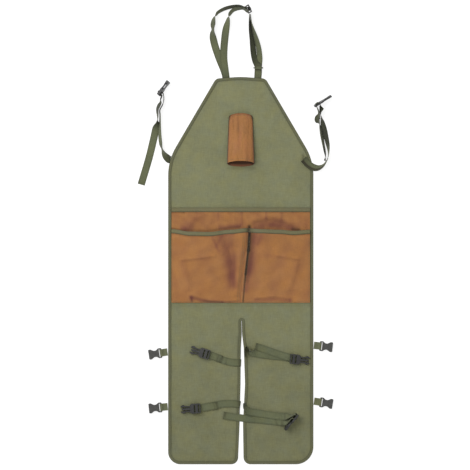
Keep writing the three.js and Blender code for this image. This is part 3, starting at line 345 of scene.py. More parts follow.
def grid_faces(columns, rows, start=0, turned=False):
    """Quads of a grid whose points run down each column in turn."""
    i, j = np.meshgrid(np.arange(columns), np.arange(rows), indexing="ij")
    first = start + i * (rows + 1) + j
    quads = np.stack([first, first + rows + 1, first + rows + 2, first + 1], axis=-1).reshape(-1, 4)
    return quads[:, ::-1] if turned else quads


def wall(under, over):
    """Points and faces of a thin wall between two grids of points."""
    columns, rows = under.shape[0] - 1, under.shape[1] - 1
    size = (columns + 1) * (rows + 1)
    points = np.concatenate([under.reshape(-1, 3), over.reshape(-1, 3)])
    at = np.arange(size).reshape(columns + 1, rows + 1)
    rim = np.concatenate([at[:, 0], at[-1, 1:], at[-2::-1, -1], at[0, -2:0:-1]])
    after = np.roll(rim, -1)
    sides = np.stack([rim, after, after + size, rim + size], axis=-1)
    faces = [*grid_faces(columns, rows, 0, True), *grid_faces(columns, rows, size), *sides]
    return points, faces


def tube(rings, closed, caps=True):
    """Points and faces of rings of points joined in turn."""
    count, size = rings.shape[0], rings.shape[1]
    j = np.arange(size)
    after = (j + 1) % size
    faces = []
    for i in range(count if closed else count - 1):
        here, there = i * size, ((i + 1) % count) * size
        faces.extend(np.stack([here + j, here + after, there + after, there + j], axis=-1))
    if not closed and caps:
        faces.append(j[::-1])
        faces.append((count - 1) * size + j)
    return rings.reshape(-1, 3), faces


# Body outline, as in the solids, with fine steps


def slit_corners(side, facing):
    """Corners along one side of the slit, whose soft edges lie a little further apart than the solid's."""
    radii = (SLIT_CORNER_RADIUS, *[SLIT_BEND_RADIUS] * (len(SLIT_UP) - 2), SLIT_TOP_RADIUS)
    return [(SLIT_HEM_WIDTH * (share + facing * ease), HEM_Y + SLIT_LENGTH * up, radius)
            for share, ease, up, radius in zip(side, SLIT_EASE, SLIT_UP, radii)]


CORNERS = [
    (0, HALF_LENGTH, BIB_ARCH_RADIUS),
    (BIB_TOP_WIDTH / 2, HALF_LENGTH - BIB_TOP_RISE, BIB_CORNER_RADIUS),
    (HALF_WIDTH, HALF_LENGTH - BIB_SLOPE_LENGTH, SLOPE_RADIUS),
    (HALF_WIDTH, HEM_Y, HEM_RIGHT_RADIUS),
    *slit_corners(SLIT_RIGHT, 1),
    *slit_corners(SLIT_LEFT, -1)[::-1],
    (-HALF_WIDTH, HEM_Y, HEM_LEFT_RADIUS),
    (-HALF_WIDTH, HALF_LENGTH - BIB_SLOPE_LENGTH, SLOPE_RADIUS),
    (-BIB_TOP_WIDTH / 2, HALF_LENGTH - BIB_TOP_RISE, BIB_CORNER_RADIUS),
]


def rounded_outline(step):
    """Points of the outline and the outward direction at each, evenly spaced."""
    points, outward = [], []
    for i, (x, y, radius) in enumerate(CORNERS):
        here = np.array([x, y], float)
        arriving = here - np.array(CORNERS[i - 1][:2])
        leaving = np.array(CORNERS[(i + 1) % len(CORNERS)][:2]) - here
        arriving /= np.linalg.norm(arriving)
        leaving /= np.linalg.norm(leaving)
        cross = arriving[0] * leaving[1] - arriving[1] * leaving[0]
        turn = math.atan2(cross, arriving @ leaving)
        start = here - arriving * radius * math.tan(abs(turn) / 2)
        first = np.array([-arriving[1], arriving[0]])
        centre = start + first * math.copysign(radius, turn)
        parts = max(3, int(abs(turn) * radius / step) + 1)
        for k in range(parts + 1):
            angle = turn * k / parts
            c, s = math.cos(angle), math.sin(angle)
            way = np.array([first[0] * c - first[1] * s, first[0] * s + first[1] * c])
            points.append(centre - way * math.copysign(radius, turn))
            outward.append(way)
    full_points, full_outward = [], []
    for i, (point, way) in enumerate(zip(points, outward)):
        after, after_way = points[(i + 1) % len(points)], outward[(i + 1) % len(points)]
        parts = max(1, int(np.linalg.norm(after - point) / step))
        for k in range(parts):
            full_points.append(mix(point, after, k / parts))
            blended = mix(way, after_way, k / parts)
            full_outward.append(blended / np.linalg.norm(blended))
    return np.array(full_points), np.array(full_outward)


OUTLINE_STEP = 3.0
EDGE, EDGE_OUT = rounded_outline(OUTLINE_STEP)


def edge_near(x, y):
    """Nearest place on the body's edge, and the outward direction there."""
    i = int(np.argmin(np.hypot(EDGE[:, 0] - x, EDGE[:, 1] - y)))
    return EDGE[i], EDGE_OUT[i]


def edge_depth(x, y):
    """How far inside the outline points lie, negative outside."""
    inside = np.zeros(np.shape(x), bool)
    after = np.roll(EDGE, -1, axis=0)
    for (x0, y0), (x1, y1) in zip(EDGE, after):
        if y0 != y1:
            inside ^= ((y0 > y) != (y1 > y)) & (x < x0 + (y - y0) * (x1 - x0) / (y1 - y0))
    depth = away_from(x, y, [*EDGE, EDGE[0]])
    return np.where(inside, depth, -depth)


# Body panel: a sheet with slow waves, and dents and painted shades (painted shadow below the pockets and the
# sleeve, and along the straps) as lines of (strength, spread, photo places)

PANEL_DENTS = [
    (0.5, 5, [(303, 154), (303.6, 162), (309, 167)]), (0.6, 9, [(222, 178), (229, 205)]),
    (-0.5, 12, [(250, 176), (262, 206)]), (0.5, 7, [(236, 312), (238, 322)]),
    (0.5, 7, [(246, 312), (244, 322)]), (0.4, 12, [(196, 372), (226, 388)]),
    (-0.4, 14, [(262, 380), (300, 372)]),
    (0.4, 10, [(200, 436), (226, 424)]), (0.4, 10, [(258, 446), (296, 440)]),
]
# Painted shadow below the front pockets and the tool sleeve, and painted shade along the waist and leg straps
PANEL_SHADES = [
    (0.55, 3.2, [(303, 155), (303.8, 162), (309, 166.5), (317, 168)]), (0.4, 6, [(239.6, 338), (239.4, 360)]),
    (0.12, 5, [(170, 305.5), (311, 305.5)]), (0.2, 5, [(228, 168), (254, 168)]),
]


def panel_relief(x, y, depth):
    """How far the front of the panel sinks below its flat height."""
    waves = 0.55 * ripples(x, y, 11, 7, 70, 190) + 0.28 * ripples(x, y, 12, 8, 24, 60)
    waves += drawn(x, y, PANEL_DENTS)
    covered = (y < POCKET_HEM + BACK_DEPTH + 4) & (y > POCKET_HEM - 6)
    free = smooth((depth - RIM_WIDTH) / 14) * np.where(covered, 0.0, 1.0)
    return np.clip((waves + 0.75) * 0.75, -0.15, 1.8) * free


PANEL_INSET = 1.6
PANEL_SPACING = 4.2
RIM_WIDTH = 9.0


def make_panel():
    rim = EDGE - EDGE_OUT * PANEL_INSET
    spacing = PANEL_SPACING
    columns = np.arange(-HALF_WIDTH + 3, HALF_WIDTH - 3, spacing)
    rows = np.arange(HEM_Y + 3, HALF_LENGTH - 3, spacing * 0.866)
    x, y = np.meshgrid(columns, rows)
    x = x + np.where(np.arange(len(rows)) % 2, spacing / 2, 0.0)[:, None]
    x, y = x.ravel(), y.ravel()
    inside = edge_depth(x, y) > PANEL_INSET + 2.2
    x, y = x[inside], y[inside]
    flat = [Vector(p) for p in rim.tolist()] + [Vector(p) for p in zip(x.tolist(), y.tolist())]
    loop = list(range(len(rim)))
    made = geometry.delaunay_2d_cdt(flat, [], [loop], 1, 1e-5)
    place = np.array([tuple(p) for p in made[0]])
    depth = edge_depth(place[:, 0], place[:, 1])
    top = FRONT_FACE - panel_relief(place[:, 0], place[:, 1], depth)
    low = np.where(depth > RIM_WIDTH, 0.0, TAPE + CLEARANCE)
    size = len(place)
    points = np.concatenate([np.column_stack([place, top]), np.column_stack([place, low])])
    triangles = []
    for face in made[2]:
        a, b, c = (place[i] for i in face)
        turn = (b[0] - a[0]) * (c[1] - a[1]) - (b[1] - a[1]) * (c[0] - a[0])
        triangles.append(tuple(face) if turn > 0 else tuple(face)[::-1])
    uses = {}
    for face in triangles:
        for a, b in zip(face, face[1:] + face[:1]):
            uses[(a, b)] = 1
    faces = list(triangles)
    faces += [tuple(i + size for i in face[::-1]) for face in triangles]
    for a, b in uses:
        if (b, a) not in uses:
            faces.append((b, a, a + size, b + size))
    # Painted light: the panel darkens towards the hem as the light falls off, and painted shade darkens it
    # within 26 mm of its edge
    along = (place[:, 1] - HEM_Y) / BODY_LENGTH
    tone = mix(0.87, 1.01, smooth(along * 2.0))
    tone = tone - 0.05 * smooth(1 - depth / 26)
    shade = drawn(place[:, 0], place[:, 1], PANEL_SHADES)
    body = piece("canvas_body", points, faces, CANVAS, ["body_panel"],
                 tone=np.tile(tone, 2), shade=np.tile(np.clip(shade, 0, 1), 2))
    return body


# Stitches: short raised threads along a line of points, gathered into one piece

STITCHES = []
STITCH_PITCH = 3.8
STITCH_LENGTH = 2.7
STITCH_WIDTH = 0.36
STITCH_RISE = 0.256


def stitch_along(line, above=0.05):
    """Stitches along a line of points, a little above it."""
    line = np.asarray(line) + np.array([0, 0, above])
    total = lengths(line)
    starts = np.arange(STITCH_PITCH / 2, total[-1] - STITCH_LENGTH, STITCH_PITCH)
    for start in starts:
        STITCHES.append([np.array([np.interp(at, total, line[:, k]) for k in range(3)])
                         for at in (start, start + STITCH_LENGTH)])


def make_stitches():
    points, faces = [], []
    for tail, head in STITCHES:
        run = head - tail
        run = run / (np.linalg.norm(run) + 1e-9)
        side = np.array([run[1], -run[0], 0.0])
        side = side / (np.linalg.norm(side) + 1e-9)
        up = np.array([0, 0, STITCH_RISE])
        start = len(points)
        points.append(tail)
        for share in (0.22, 0.78):
            middle = mix(tail, head, share)
            for across, rise in ((1, 0), (0.6, 1), (-0.6, 1), (-1, 0)):
                points.append(middle + side * across * STITCH_WIDTH + up * rise)
        points.append(head)
        for k in range(3):
            faces.append((start, start + 1 + k, start + 2 + k))
            faces.append((start + 1 + k, start + 5 + k, start + 6 + k, start + 2 + k))
            faces.append((start + 9, start + 6 + k, start + 5 + k))
        faces.append((start, start + 4, start + 1))
        faces.append((start + 4, start + 8, start + 5, start + 1))
        faces.append((start + 9, start + 5, start + 8))
    return piece("stitching", points, faces, THREAD, crease=180)


# Tape round the edge: folded over it, slightly puckered between its stitches


def folded_section(width, low, high):
    """A folded strip as (inset, height) pairs, from the lower lip round the fold to the upper lip."""
    middle = (low + high) / 2
    half = (high - low) / 2
    turn = [math.radians(a) for a in range(-90, 91, 30)]
    outer = [(half * 0.8 * (1 - math.cos(a)), middle + half * math.sin(a)) for a in turn]
    inside = half - TAPE
    inner = [(half * 0.8 - inside * 0.7 * math.cos(a), middle + inside * math.sin(a)) for a in turn[::-1]]
    return ([(width, low), (width * 0.62, low)] + outer + [(width * 0.62, high), (width, high - 0.1)]
            + [(width, high - TAPE)] + inner + [(width, low + TAPE)])


def make_edge_tape():
    section = folded_section(TAPE_WIDTH, 0.0, EDGE_TOP)
    length = lengths(EDGE)
    pucker = 0.5 + 0.5 * np.sin(length * 2 * math.pi / 23 + 1.3 * np.sin(length / 37))
    rings = np.zeros((len(EDGE), len(section), 3))
    for k, (inset, z) in enumerate(section):
        on_top = z > EDGE_TOP - 0.2
        sway = 0.35 * np.sin(length / 31) if inset > TAPE_WIDTH - 0.1 else 0.0
        moved = EDGE - EDGE_OUT * (inset + sway)[:, None] if np.ndim(sway) else EDGE - EDGE_OUT * inset
        rings[:, k, :2] = moved
        rings[:, k, 2] = z + (0.16 * pucker if on_top else 0.0)
    points, faces = tube(rings, True)
    across = np.array([inset for inset, _ in section])
    uv = np.column_stack([np.tile(across, len(EDGE)), np.repeat(length, len(section))])
    # Painted shade on the tape's inner lips and along its outer fold
    shade = np.where(across > TAPE_WIDTH - 0.2, 0.35, 0.0) + np.where(across < 1.2, 0.55, 0.0)
    made = piece("edge_binding", points, faces, BINDING, ["edge_tape"], uv=uv,
                 shade=np.tile(shade, len(EDGE)))
    line = EDGE - EDGE_OUT * (TAPE_WIDTH - 1.8)
    stitch_along(np.column_stack([line, np.full(len(line), EDGE_TOP)]))
    return made


# Pockets


def back_height(x, y):
    belly = np.cos(x / POCKET_HALF * math.pi / 2) ** 2
    rise = (y - POCKET_HEM) / BACK_DEPTH
    lift = MOUTH_ROOM * smooth(1 + (y - POCKET_HEM - BACK_DEPTH + MOUTH_TAPE) / MOUTH_RISE)
    return CLEARANCE + lift + BACK_GAPE * belly * smooth(rise * 1.05)


LEFT_FOLDS = [
    (0.01, 1.0, 0.04, 0.1, 0.4, 0.065),
    (0.36, 0.98, 0.17, 0.7, -0.34, 0.075),
    (0.17, 0.7, 0.11, 0.2, -0.3, 0.055),
    (0.82, 0.59, 0.42, 0.63, 0.12, 0.03),
    (0.84, 0.58, 0.72, 0.18, 0.12, 0.03),
    (0.7, 0.1, 0.42, 0.03, 0.2, 0.04),
    (0.42, 0.06, 0.02, 0.05, 0.16, 0.04),
]
RIGHT_FOLDS = [
    (0.12, 1.0, 0.07, 0.3, -0.22, 0.06),
    (0.3, 1.0, 0.2, 0.4, 0.14, 0.09),
    (0.5, 0.63, 0.8, 0.59, 0.12, 0.03),
    (0.79, 0.52, 0.69, 0.18, 0.12, 0.03),
    (0.2, 0.06, 0.48, 0.1, 0.2, 0.04),
    (0.48, 0.1, 0.7, 0.05, 0.16, 0.04),
]
SAG_AT = [0, 0.22, 0.5, 0.75, 1]
LEFT_SAG = [0.0, 0.02, 0.05, 0.045, 0.012]
RIGHT_SAG = [0.0, 0.012, 0.02, 0.035, 0.02]


def sag(side, out):
    sags = LEFT_SAG if side < 0 else RIGHT_SAG
    k = np.clip(np.searchsorted(SAG_AT, out, side="right") - 1, 0, len(SAG_AT) - 2)
    low, high = np.take(SAG_AT, k), np.take(SAG_AT, k + 1)
    share = smooth((out - low) / (high - low))
    return mix(np.take(sags, k), np.take(sags, k + 1), share) * FRONT_DEPTH


def fold_height(side, out, rise):
    total = np.zeros(np.shape(out))
    for out0, up0, out1, up1, height, spread in (LEFT_FOLDS if side < 0 else RIGHT_FOLDS):
        away = away_from(out, rise, [(out0, up0), (out1, up1)]) / spread
        total += height * np.exp(-away * away)
    return total


def front_height(side, out, x, y):
    rise = np.clip((y - POCKET_HEM) / FRONT_DEPTH, 0, 1)
    edge = np.sin(math.pi * np.clip(out * 0.97 + 0.015, 0, 1)) ** 0.8
    hem = smooth(rise * 4)
    belly = edge * mix(0.35, 1, smooth(rise)) * 0.62
    free = smooth(np.minimum(out, 1 - out) * 9) * hem
    own = FRONT_GAPE * np.maximum(0, hem * belly + free * fold_height(side, out, rise))
    lift = MOUTH_ROOM * smooth(1 + (y - POCKET_HEM - FRONT_DEPTH + 2 * MOUTH_TAPE) / MOUTH_RISE)
    return back_height(x, y) + WALL + CLEARANCE + lift + own


def seam_at(y):
    return SEAM_LEAN * smooth((y - POCKET_HEM) / FRONT_DEPTH)


def pocket_grid(x_at, mouth_at, height_at, columns, rows):
    """Underside of a pocket wall. Its last strip, which the mouth tape covers, keeps one height."""
    out, rise = shares(columns, rows)
    mouth = mouth_at(out)
    strip = mouth - MOUTH_TAPE
    split = 1 - 4 / rows
    low = np.minimum(rise / split, 1)
    bend = mix(POCKET_HEM, strip, low) + 0 * rise
    y = bend + (mouth - TAPE - CLEARANCE - strip) * np.clip((rise - split) / (1 - split), 0, 1)
    x = x_at(out, bend)
    z = FRONT_FACE + height_at(out + 0 * rise, x, bend)
    return np.stack([x, y, z], axis=-1)


def pocket_wall(name, grid, folds, tone, node, valley=None):
    """A pocket wall with fine relief on both faces. Its rim keeps its height."""
    x, y = grid[..., 0], grid[..., 1]
    columns, rows = grid.shape[0] - 1, grid.shape[1] - 1
    out, rise = shares(columns, rows)
    free = smooth(np.minimum(out, 1 - out) * 24) * smooth(rise * 22) * smooth((1 - rise) * 14)
    height, level, *waves = folds["uneven"]
    fine = (drawn(x, y, folds["relief"]) + height * ripples(x, y, *waves) + level) * free
    stain, *waves = folds["stained"]
    # Painted shade from the wall's shade lines and, on the left pocket, its valley; the stained level and
    # waves are added to it
    shade = drawn(x, y, folds["shade"]) + stain + 0.12 * ripples(x, y, *waves)
    if valley:
        shade = shade + valley(x, y)
    grid = grid.copy()
    grid[..., 2] += np.maximum(fine, 0)
    over = grid.copy()
    over[..., 2] += WALL
    points, faces = wall(grid, over)
    level, seed = tone
    tones = level + 0.02 * ripples(x, y, seed, 6, 40, 120)
    # Painted shade, near-black, in the crevices and narrow gaps
    gaps = np.clip(drawn(x, y, folds["gap"]), 0, 1)
    made = piece(name, points, faces, RUST, [node], tone=np.tile(tones.ravel(), 2),
                 shade=np.tile(np.clip(shade, 0, 1).ravel(), 2), gap=np.tile(gaps.ravel(), 2), crease=60)
    return made, over


def mouth_tape(name, grid, node):
    """Tape folded over a pocket's mouth."""
    section = folded_section(MOUTH_TAPE - CLEARANCE, -CLEARANCE - TAPE, WALL + CLEARANCE + TAPE)
    top = grid[:, -1]
    edge = top[:, 1] + TAPE + CLEARANCE
    rings = np.zeros((len(top), len(section), 3))
    length = lengths(top)
    for k, (down, z) in enumerate(section):
        rings[:, k, 0] = top[:, 0]
        rings[:, k, 1] = edge - down
        rings[:, k, 2] = top[:, 2] + z
    points, faces = tube(rings, False)
    across = np.array([down for down, _ in section])
    uv = np.column_stack([np.tile(across, len(top)), np.repeat(length, len(section))])
    # Painted shade along both edges of the tape: its lower edge on the cloth and its fold at the mouth
    lip = 0.75 * np.exp(-((across - across.max()) / 1.6) ** 2) + 0.5 * np.exp(-(across / 1.3) ** 2)
    along = rings[:, 0, 0][:, None]
    # Painted shade, near-black, where the crevice between the front pockets meets the tape
    under = 0.8 * np.exp(-((along - spot(248.5, 0)[0]) / 6) ** 2) if "front" in name else 0 * along
    made = piece(name, points, faces, RIM, [node], uv=uv, shade=np.tile(np.clip(lip, 0, 1), len(top)),
                 gap=(under + 0 * lip).ravel())
    stitch_along(np.column_stack([top[:, 0], edge - MOUTH_TAPE + 2.4, top[:, 2] + WALL + CLEARANCE + TAPE]))
    return made


# The walls' folds: lines of (strength, spread, photo places) that raise them ("relief"), paint shade on them
# in folds and dents ("shade") or paint near-black shade on them in crevices and narrow gaps ("gap"), and
# waves.
# "uneven" is (height of its waves, level, wave numbers) and "stained" is (level, wave numbers)
BACK_WALL = {
    "uneven": (0.5, 0.35, 21, 8, 18, 60), "stained": (0.12, 23, 6, 20, 70),
    "relief": [
        (0.7, 3.2, [(218, 212), (218.6, 229)]), (0.7, 3.2, [(234, 212), (234.6, 229)]),
        (1.3, 3.2, [(241.5, 212), (242.1, 229)]), (0.7, 3.2, [(266, 212), (266.6, 229)]),
        (0.7, 3.2, [(281, 212), (281.6, 229)]), (2.0, 9, [(206, 212), (192, 221), (184, 230)]),
        (3.0, 9, [(249, 222), (258, 218.5), (268, 216.4), (280, 218), (291, 222), (303, 226)]),
        (-1.5, 9, [(256, 225), (272, 223), (292, 227)]),
    ],
    "shade": [
        (0.6, 10, [(256, 227.5), (264, 225.5), (278, 225.6), (292, 228)]),
        (0.26, 8, [(254, 223), (268, 219.4), (286, 222.5), (297, 226.5)]),
        (0.36, 13, [(201, 216), (194, 221), (186, 228)]), (0.42, 8, [(182, 229), (192, 228.5)]),
        (0.62, 7, [(220, 228), (240, 226)]), (0.34, 4, [(241.6, 211), (241.6, 224)]),
        (0.3, 4, [(218, 212), (218, 220)]), (0.4, 3.4, [(266, 212), (266, 218)]),
        (0.3, 5, [(281, 212), (281, 220)]), (0.3, 8, [(305, 224), (308, 229)]),
    ],
    "gap": [
        (0.4, 2.6, [(171, 212.2), (184, 212.4)]), (0.16, 2.2, [(184, 212.4), (312, 212.4)]),
        (0.6, 5.0, [(293, 229.2), (299, 230)]),
        (0.3, 3.4, [(170, 228), (180, 230), (206, 231), (224, 228.5), (240, 226.8)]),
        (0.9, 5, [(249.2, 226.5), (249, 232)]),
    ],
}
LEFT_WALL = {
    "uneven": (0.6, 0.4, 31, 9, 16, 60), "stained": (0.1, 33, 7, 24, 90),
    "relief": [
        (1.0, 3.0, [(182, 260), (196, 258.5), (210, 256.5)]),
        (0.8, 3.0, [(180, 260), (186, 275), (189, 290)]),
        (1.6, 4.4, [(190, 295), (200, 297.5), (212, 301)]),
        (1.2, 3.6, [(204, 301.5), (222, 301), (238, 300)]), (1.2, 5, [(211, 236), (216, 245), (222, 253)]),
        (0.8, 9, [(210, 281), (236, 268)]),
    ],
    "shade": [
        (0.3, 13, [(217, 238), (225, 249), (230.5, 266), (233, 284)]),
        (0.34, 5, [(211.5, 236), (215, 243), (219, 251)]), (0.3, 8, [(214, 234.5), (232, 234)]),
        (0.22, 5, [(222, 236), (216, 247)]), (0.2, 6, [(183, 260.8), (196, 259.6), (209, 257.4)]),
        (0.1, 7, [(181, 262), (186, 275), (189, 290)]), (0.6, 4.6, [(191.5, 297), (192, 301)]),
        (0.62, 5, [(191, 297.5), (200, 299.8), (211, 301.8), (222, 302.4)]),
        (0.4, 3.4, [(222, 302.3), (240, 301.3)]), (0.2, 5, [(246, 232), (241.5, 300)]),
    ],
    "gap": [
        (0.3, 3, [(191.4, 298), (191.8, 301.5)]), (0.22, 2.8, [(204, 301), (224, 302.8)]),
        (0.2, 2, [(170, 303.4), (240, 303.2)]),
        (0.22, 2.2, [(171, 233.5), (188, 236.4), (206, 236.5), (222, 233.6), (240, 231.4)]),
        (0.8, 3.6, [(248.2, 229), (246.6, 254)]), (0.3, 1.6, [(246.6, 254), (242.2, 302)]),
    ],
}
RIGHT_WALL = {
    "uneven": (0.6, 0.4, 41, 9, 16, 60), "stained": (0.1, 43, 7, 24, 90),
    "relief": [
        (1.0, 3.0, [(277, 255.5), (290, 257.5), (299, 259.5)]), (0.8, 3.0, [(298, 265), (291, 290)]),
        (1.3, 4.0, [(256, 298), (276, 296), (291, 298.5)]), (0.8, 8, [(262, 288), (278, 276)]),
    ],
    "shade": [
        (0.52, 9.5, [(254, 234), (252.4, 246), (248.5, 270), (245.5, 290)]),
        (0.3, 15, [(257.5, 236), (255, 250), (251, 272)]),
        (0.2, 6, [(268, 255.5), (280, 257), (290, 258.6), (298, 260.4)]),
        (0.1, 7, [(298.5, 266), (291.5, 290)]), (0.42, 6, [(256, 300), (276, 299), (291, 301)]),
        (0.3, 4, [(290, 299), (290, 302)]), (0.25, 6, [(262, 235), (258, 244)]),
    ],
    "gap": [
        (1.05, 5.2, [(249.6, 229), (248.3, 250)]), (1.0, 3.0, [(248.3, 250), (245.6, 274)]),
        (0.8, 1.8, [(245.6, 274), (243, 302)]), (0.26, 8, [(252.4, 232), (250.4, 255), (246.6, 280)]),
        (0.2, 2, [(243, 303.2), (311, 303.4)]),
        (0.2, 2.2, [(252, 231.5), (276, 232.6), (296, 235.2), (311, 234)]),
    ],
}
VALLEY = [(231.5, 244), (234.2, 258), (233.6, 276)]
VALLEY_WIDTH = 24.0
VALLEY_EDGE = 7.5


def left_valley(x, y):
    """Painted shade of the left pocket's valley, which fades slowly to its left and quickly to its right."""
    places = np.array([spot(*place) for place in VALLEY])[::-1]
    along = x - np.interp(y, places[:, 1], places[:, 0])
    ends = smooth((y - places[0, 1]) / 45 + 1) * smooth((places[-1, 1] - y) / 30 + 1)
    across = np.exp(-(along / np.where(along < 0, VALLEY_WIDTH, VALLEY_EDGE)) ** 2)
    return 0.56 * across * ends * mix(0.75, 1.0, smooth((spot(0, 262)[1] - y) / 60 + 1))


BACK_GRID = (260, 150)
FRONT_GRID = (170, 180)


def make_pockets():
    back = pocket_grid(
        lambda out, y: mix(-POCKET_HALF, POCKET_HALF, out) + 0 * y,
        lambda out: POCKET_HEM + BACK_DEPTH + 0 * out,
        lambda out, x, y: back_height(x, y),
        *BACK_GRID)
    made, _ = pocket_wall("back_pocket_cloth", back, BACK_WALL, (0.97, 52), "back_pocket")
    mouth_tape("back_pocket_rim", back, "back_pocket_tape")
    for side, name, folds, valley in ((-1, "left", LEFT_WALL, left_valley), (1, "right", RIGHT_WALL, None)):
        inner = side * CLEARANCE / 2
        grid = pocket_grid(
            lambda out, y: mix(seam_at(y) + inner, side * POCKET_HALF, out),
            lambda out: POCKET_HEM + FRONT_DEPTH - sag(side, out),
            lambda out, x, y: front_height(side, out, x, y),
            *FRONT_GRID)
        made, over = pocket_wall(f"front_pocket_{name}_cloth", grid, folds, (1.0, 51),
                                 f"front_pocket_{name}", valley)
        if side < 0:
            made.data.flip_normals()
        tape = mouth_tape(f"front_pocket_{name}_rim", grid, f"front_pocket_tape_{name}")
        if side < 0:
            tape.data.flip_normals()
        for line in (over[4, 2:-14], over[8, 2:-14], over[2:-2, 3], over[-4, 2:-14]):
            stitch_along(line)


# Tool sleeve

SLEEVE_LENGTH = 127.0
SLEEVE_TOP = HALF_LENGTH - 112
SLEEVE_LIP = 7.0
SLEEVE_WIDTHS = (76.0, 66.0)
SLEEVE_HEIGHTS = (25.0, 11.0)
SLEEVE_ARCHES = (8.0, 12.0)
SLEEVE_RIDGES = [(-0.62, 0.5), (-0.22, 0.6), (0.2, 0.8), (0.6, 0.5)]


SLEEVE_FOLDS = [(-0.48, 0.5, 0.08, 0.3), (-0.1, 0.6, 0.06, -0.4), (0.42, 0.8, 0.07, 0.7),
                (-0.72, 0.4, 0.07, 0.2)]


def sleeve_folds(across, along, wide=1.0, fades=False):
    """Sum of the sleeve's folds, given as (place across, depth, width, drift)."""
    total = 0
    for at, depth, width, drift in SLEEVE_FOLDS:
        path = at + 0.1 * drift * (along - 0.5) + 0.03 * np.sin(along * 6 + 9 * at)
        fade = 0.5 + 0.5 * np.sin(along * 5 + 20 * at) if fades else 1
        total = total + depth * fade * np.exp(-((across - path) / (wide * width)) ** 2)
    return total


SLEEVE_GRID = (120, 90)
SLEEVE_BACK_GRID = (60, 70)


def make_sleeve():
    columns, rows = SLEEVE_GRID
    across, along = shares(columns, rows, -1)
    half = mix(*SLEEVE_WIDTHS, along) / 2 - WALL
    height = mix(*SLEEVE_HEIGHTS, smooth(along)) - WALL
    angle = math.pi / 2 * across
    arch = mix(*SLEEVE_ARCHES, along) * np.cos(angle)
    bump = sum(rise * 2 * np.exp(-((across - at) / 0.13) ** 2) for at, rise in SLEEVE_RIDGES)
    fine = 0.5 * ripples(half * across * 2, along * SLEEVE_LENGTH, 61, 8, 10, 36)
    fine = np.clip(fine - sleeve_folds(across, along) + 0.8, 0, 2.0) * smooth((1 - abs(across)) * 6)
    z = FRONT_FACE + CLEARANCE + (height + bump * (1 - along * 0.5)) * np.cos(angle) ** 0.75
    x = half * np.sin(angle)
    y = SLEEVE_TOP - SLEEVE_LENGTH * (1 - along) + arch
    under = np.stack([x, y, z + fine * 0.6], axis=-1)
    outward = np.stack(np.broadcast_arrays(np.sin(angle), 0 * along, np.cos(angle)), axis=-1)
    over = under + outward * WALL
    points, faces = wall(under, over)
    # Painted highlight and shade: lengthwise streaks, lighter in the tone and darker in the shade, stand for
    # lit fold tops and shaded fold valleys
    lit_shaded_streak = ripples(half * across * 3, along * 34, 62, 7, 10, 34)
    # Painted shade on the steep sides, from the streaks, along the folds and at the top edge
    shade = 0.4 * smooth((abs(across) - 0.6) * 3) + 0.24 * smooth(0.3 + 0.5 * lit_shaded_streak)
    shade = shade + 0.3 * sleeve_folds(across, along, 1.6, True) + 0.3 * smooth((along - 0.94) * 18)
    spread = np.sin(angle) ** 2
    # Painted shade, near-black, along the side outlines, on the left side, at the top edge and its corners,
    # and in a spot on each side
    gap = 0.72 * smooth((spread - 0.84) * 8) + 0.2 * smooth((-across - 0.7) * 5)
    gap = gap + 0.25 * smooth((along - 0.965) * 40)
    gap = gap + 0.5 * smooth((spread - 0.5) * 3) * smooth((along - 0.88) * 12)
    gap = gap + 0.5 * np.exp(-((spread - 0.97) / 0.05) ** 2 - ((along - 0.62) / 0.04) ** 2)
    # Tone: painted highlight from the streaks, and a little lighter towards the bottom
    tone = 0.97 + 0.09 * lit_shaded_streak + 0.04 * (1 - along)
    outer = np.clip(shade, 0, 1).ravel()
    # Painted shade inside the sleeve: its inner face is shaded and turned toward near-black, more towards the
    # sides
    inner_painted_shade = np.clip(0.55 + 0.4 * abs(across) + 0 * along, 0, 1).ravel()
    made = piece("tool_sleeve_cloth", points, faces, RUST, ["tool_sleeve"],
                 tone=np.tile(tone.ravel(), 2), shade=np.concatenate([0 * outer + 0.6, outer]),
                 gap=np.concatenate([inner_painted_shade, np.clip(gap, 0, 1).ravel()]), crease=60)
    for column in (4, columns - 4):
        stitch_along(over[column, 2:-2], 0.1)
    for row in (4, rows - 4):
        stitch_along(over[4:-4, row])
    make_sleeve_back()


def make_sleeve_back():
    """Back layer of the sleeve, whose rounded lip shows below the front's hem, painted dark as shade inside
    the sleeve's mouth.
    """
    across, along = shares(*SLEEVE_BACK_GRID, -1)
    angle = math.pi / 2 * across
    half = mix(*SLEEVE_WIDTHS, along) / 2 - WALL - 3 * CLEARANCE
    hem = SLEEVE_TOP - SLEEVE_LENGTH - SLEEVE_LIP * np.cos(angle)
    top = SLEEVE_TOP - CLEARANCE + SLEEVE_ARCHES[1] * np.cos(angle)
    x = half * np.sin(angle)
    y = mix(hem, top, along)
    z = FRONT_FACE + CLEARANCE + 0 * x
    under = np.stack([x, y, z], axis=-1)
    over = under + np.array([0, 0, WALL])
    points, faces = wall(under, over)
    # Painted shade: the back layer is shaded all over and turns toward near-black away from its hem and
    # towards its sides
    lip = smooth((along - 0.02) * 30)
    gap = mix(0.3, 0.75, lip) + 0.35 * smooth((abs(np.sin(angle)) - 0.6) * 3)
    made = piece("tool_sleeve_back_cloth", points, faces, RUST, ["tool_sleeve_back"],
                 shade=0.7, gap=np.tile(np.clip(gap, 0, 1).ravel(), 2), crease=60)


# Webbing: stations are (x, y, clear, roll), and rows are (along, aside, roll, lift) shares


def stations_of(rows, origin, reach, base=0.0):
    return [(origin[0] + row[1] * WEB_WIDTH, origin[1] + row[0] * reach,
             base + (row[3] if len(row) > 3 else 0) * WEB_THICK, row[2]) for row in rows]


def half_height(roll):
    turn = np.radians(roll)
    return (abs(np.sin(turn)) * WEB_WIDTH + abs(np.cos(turn)) * WEB_THICK) / 2


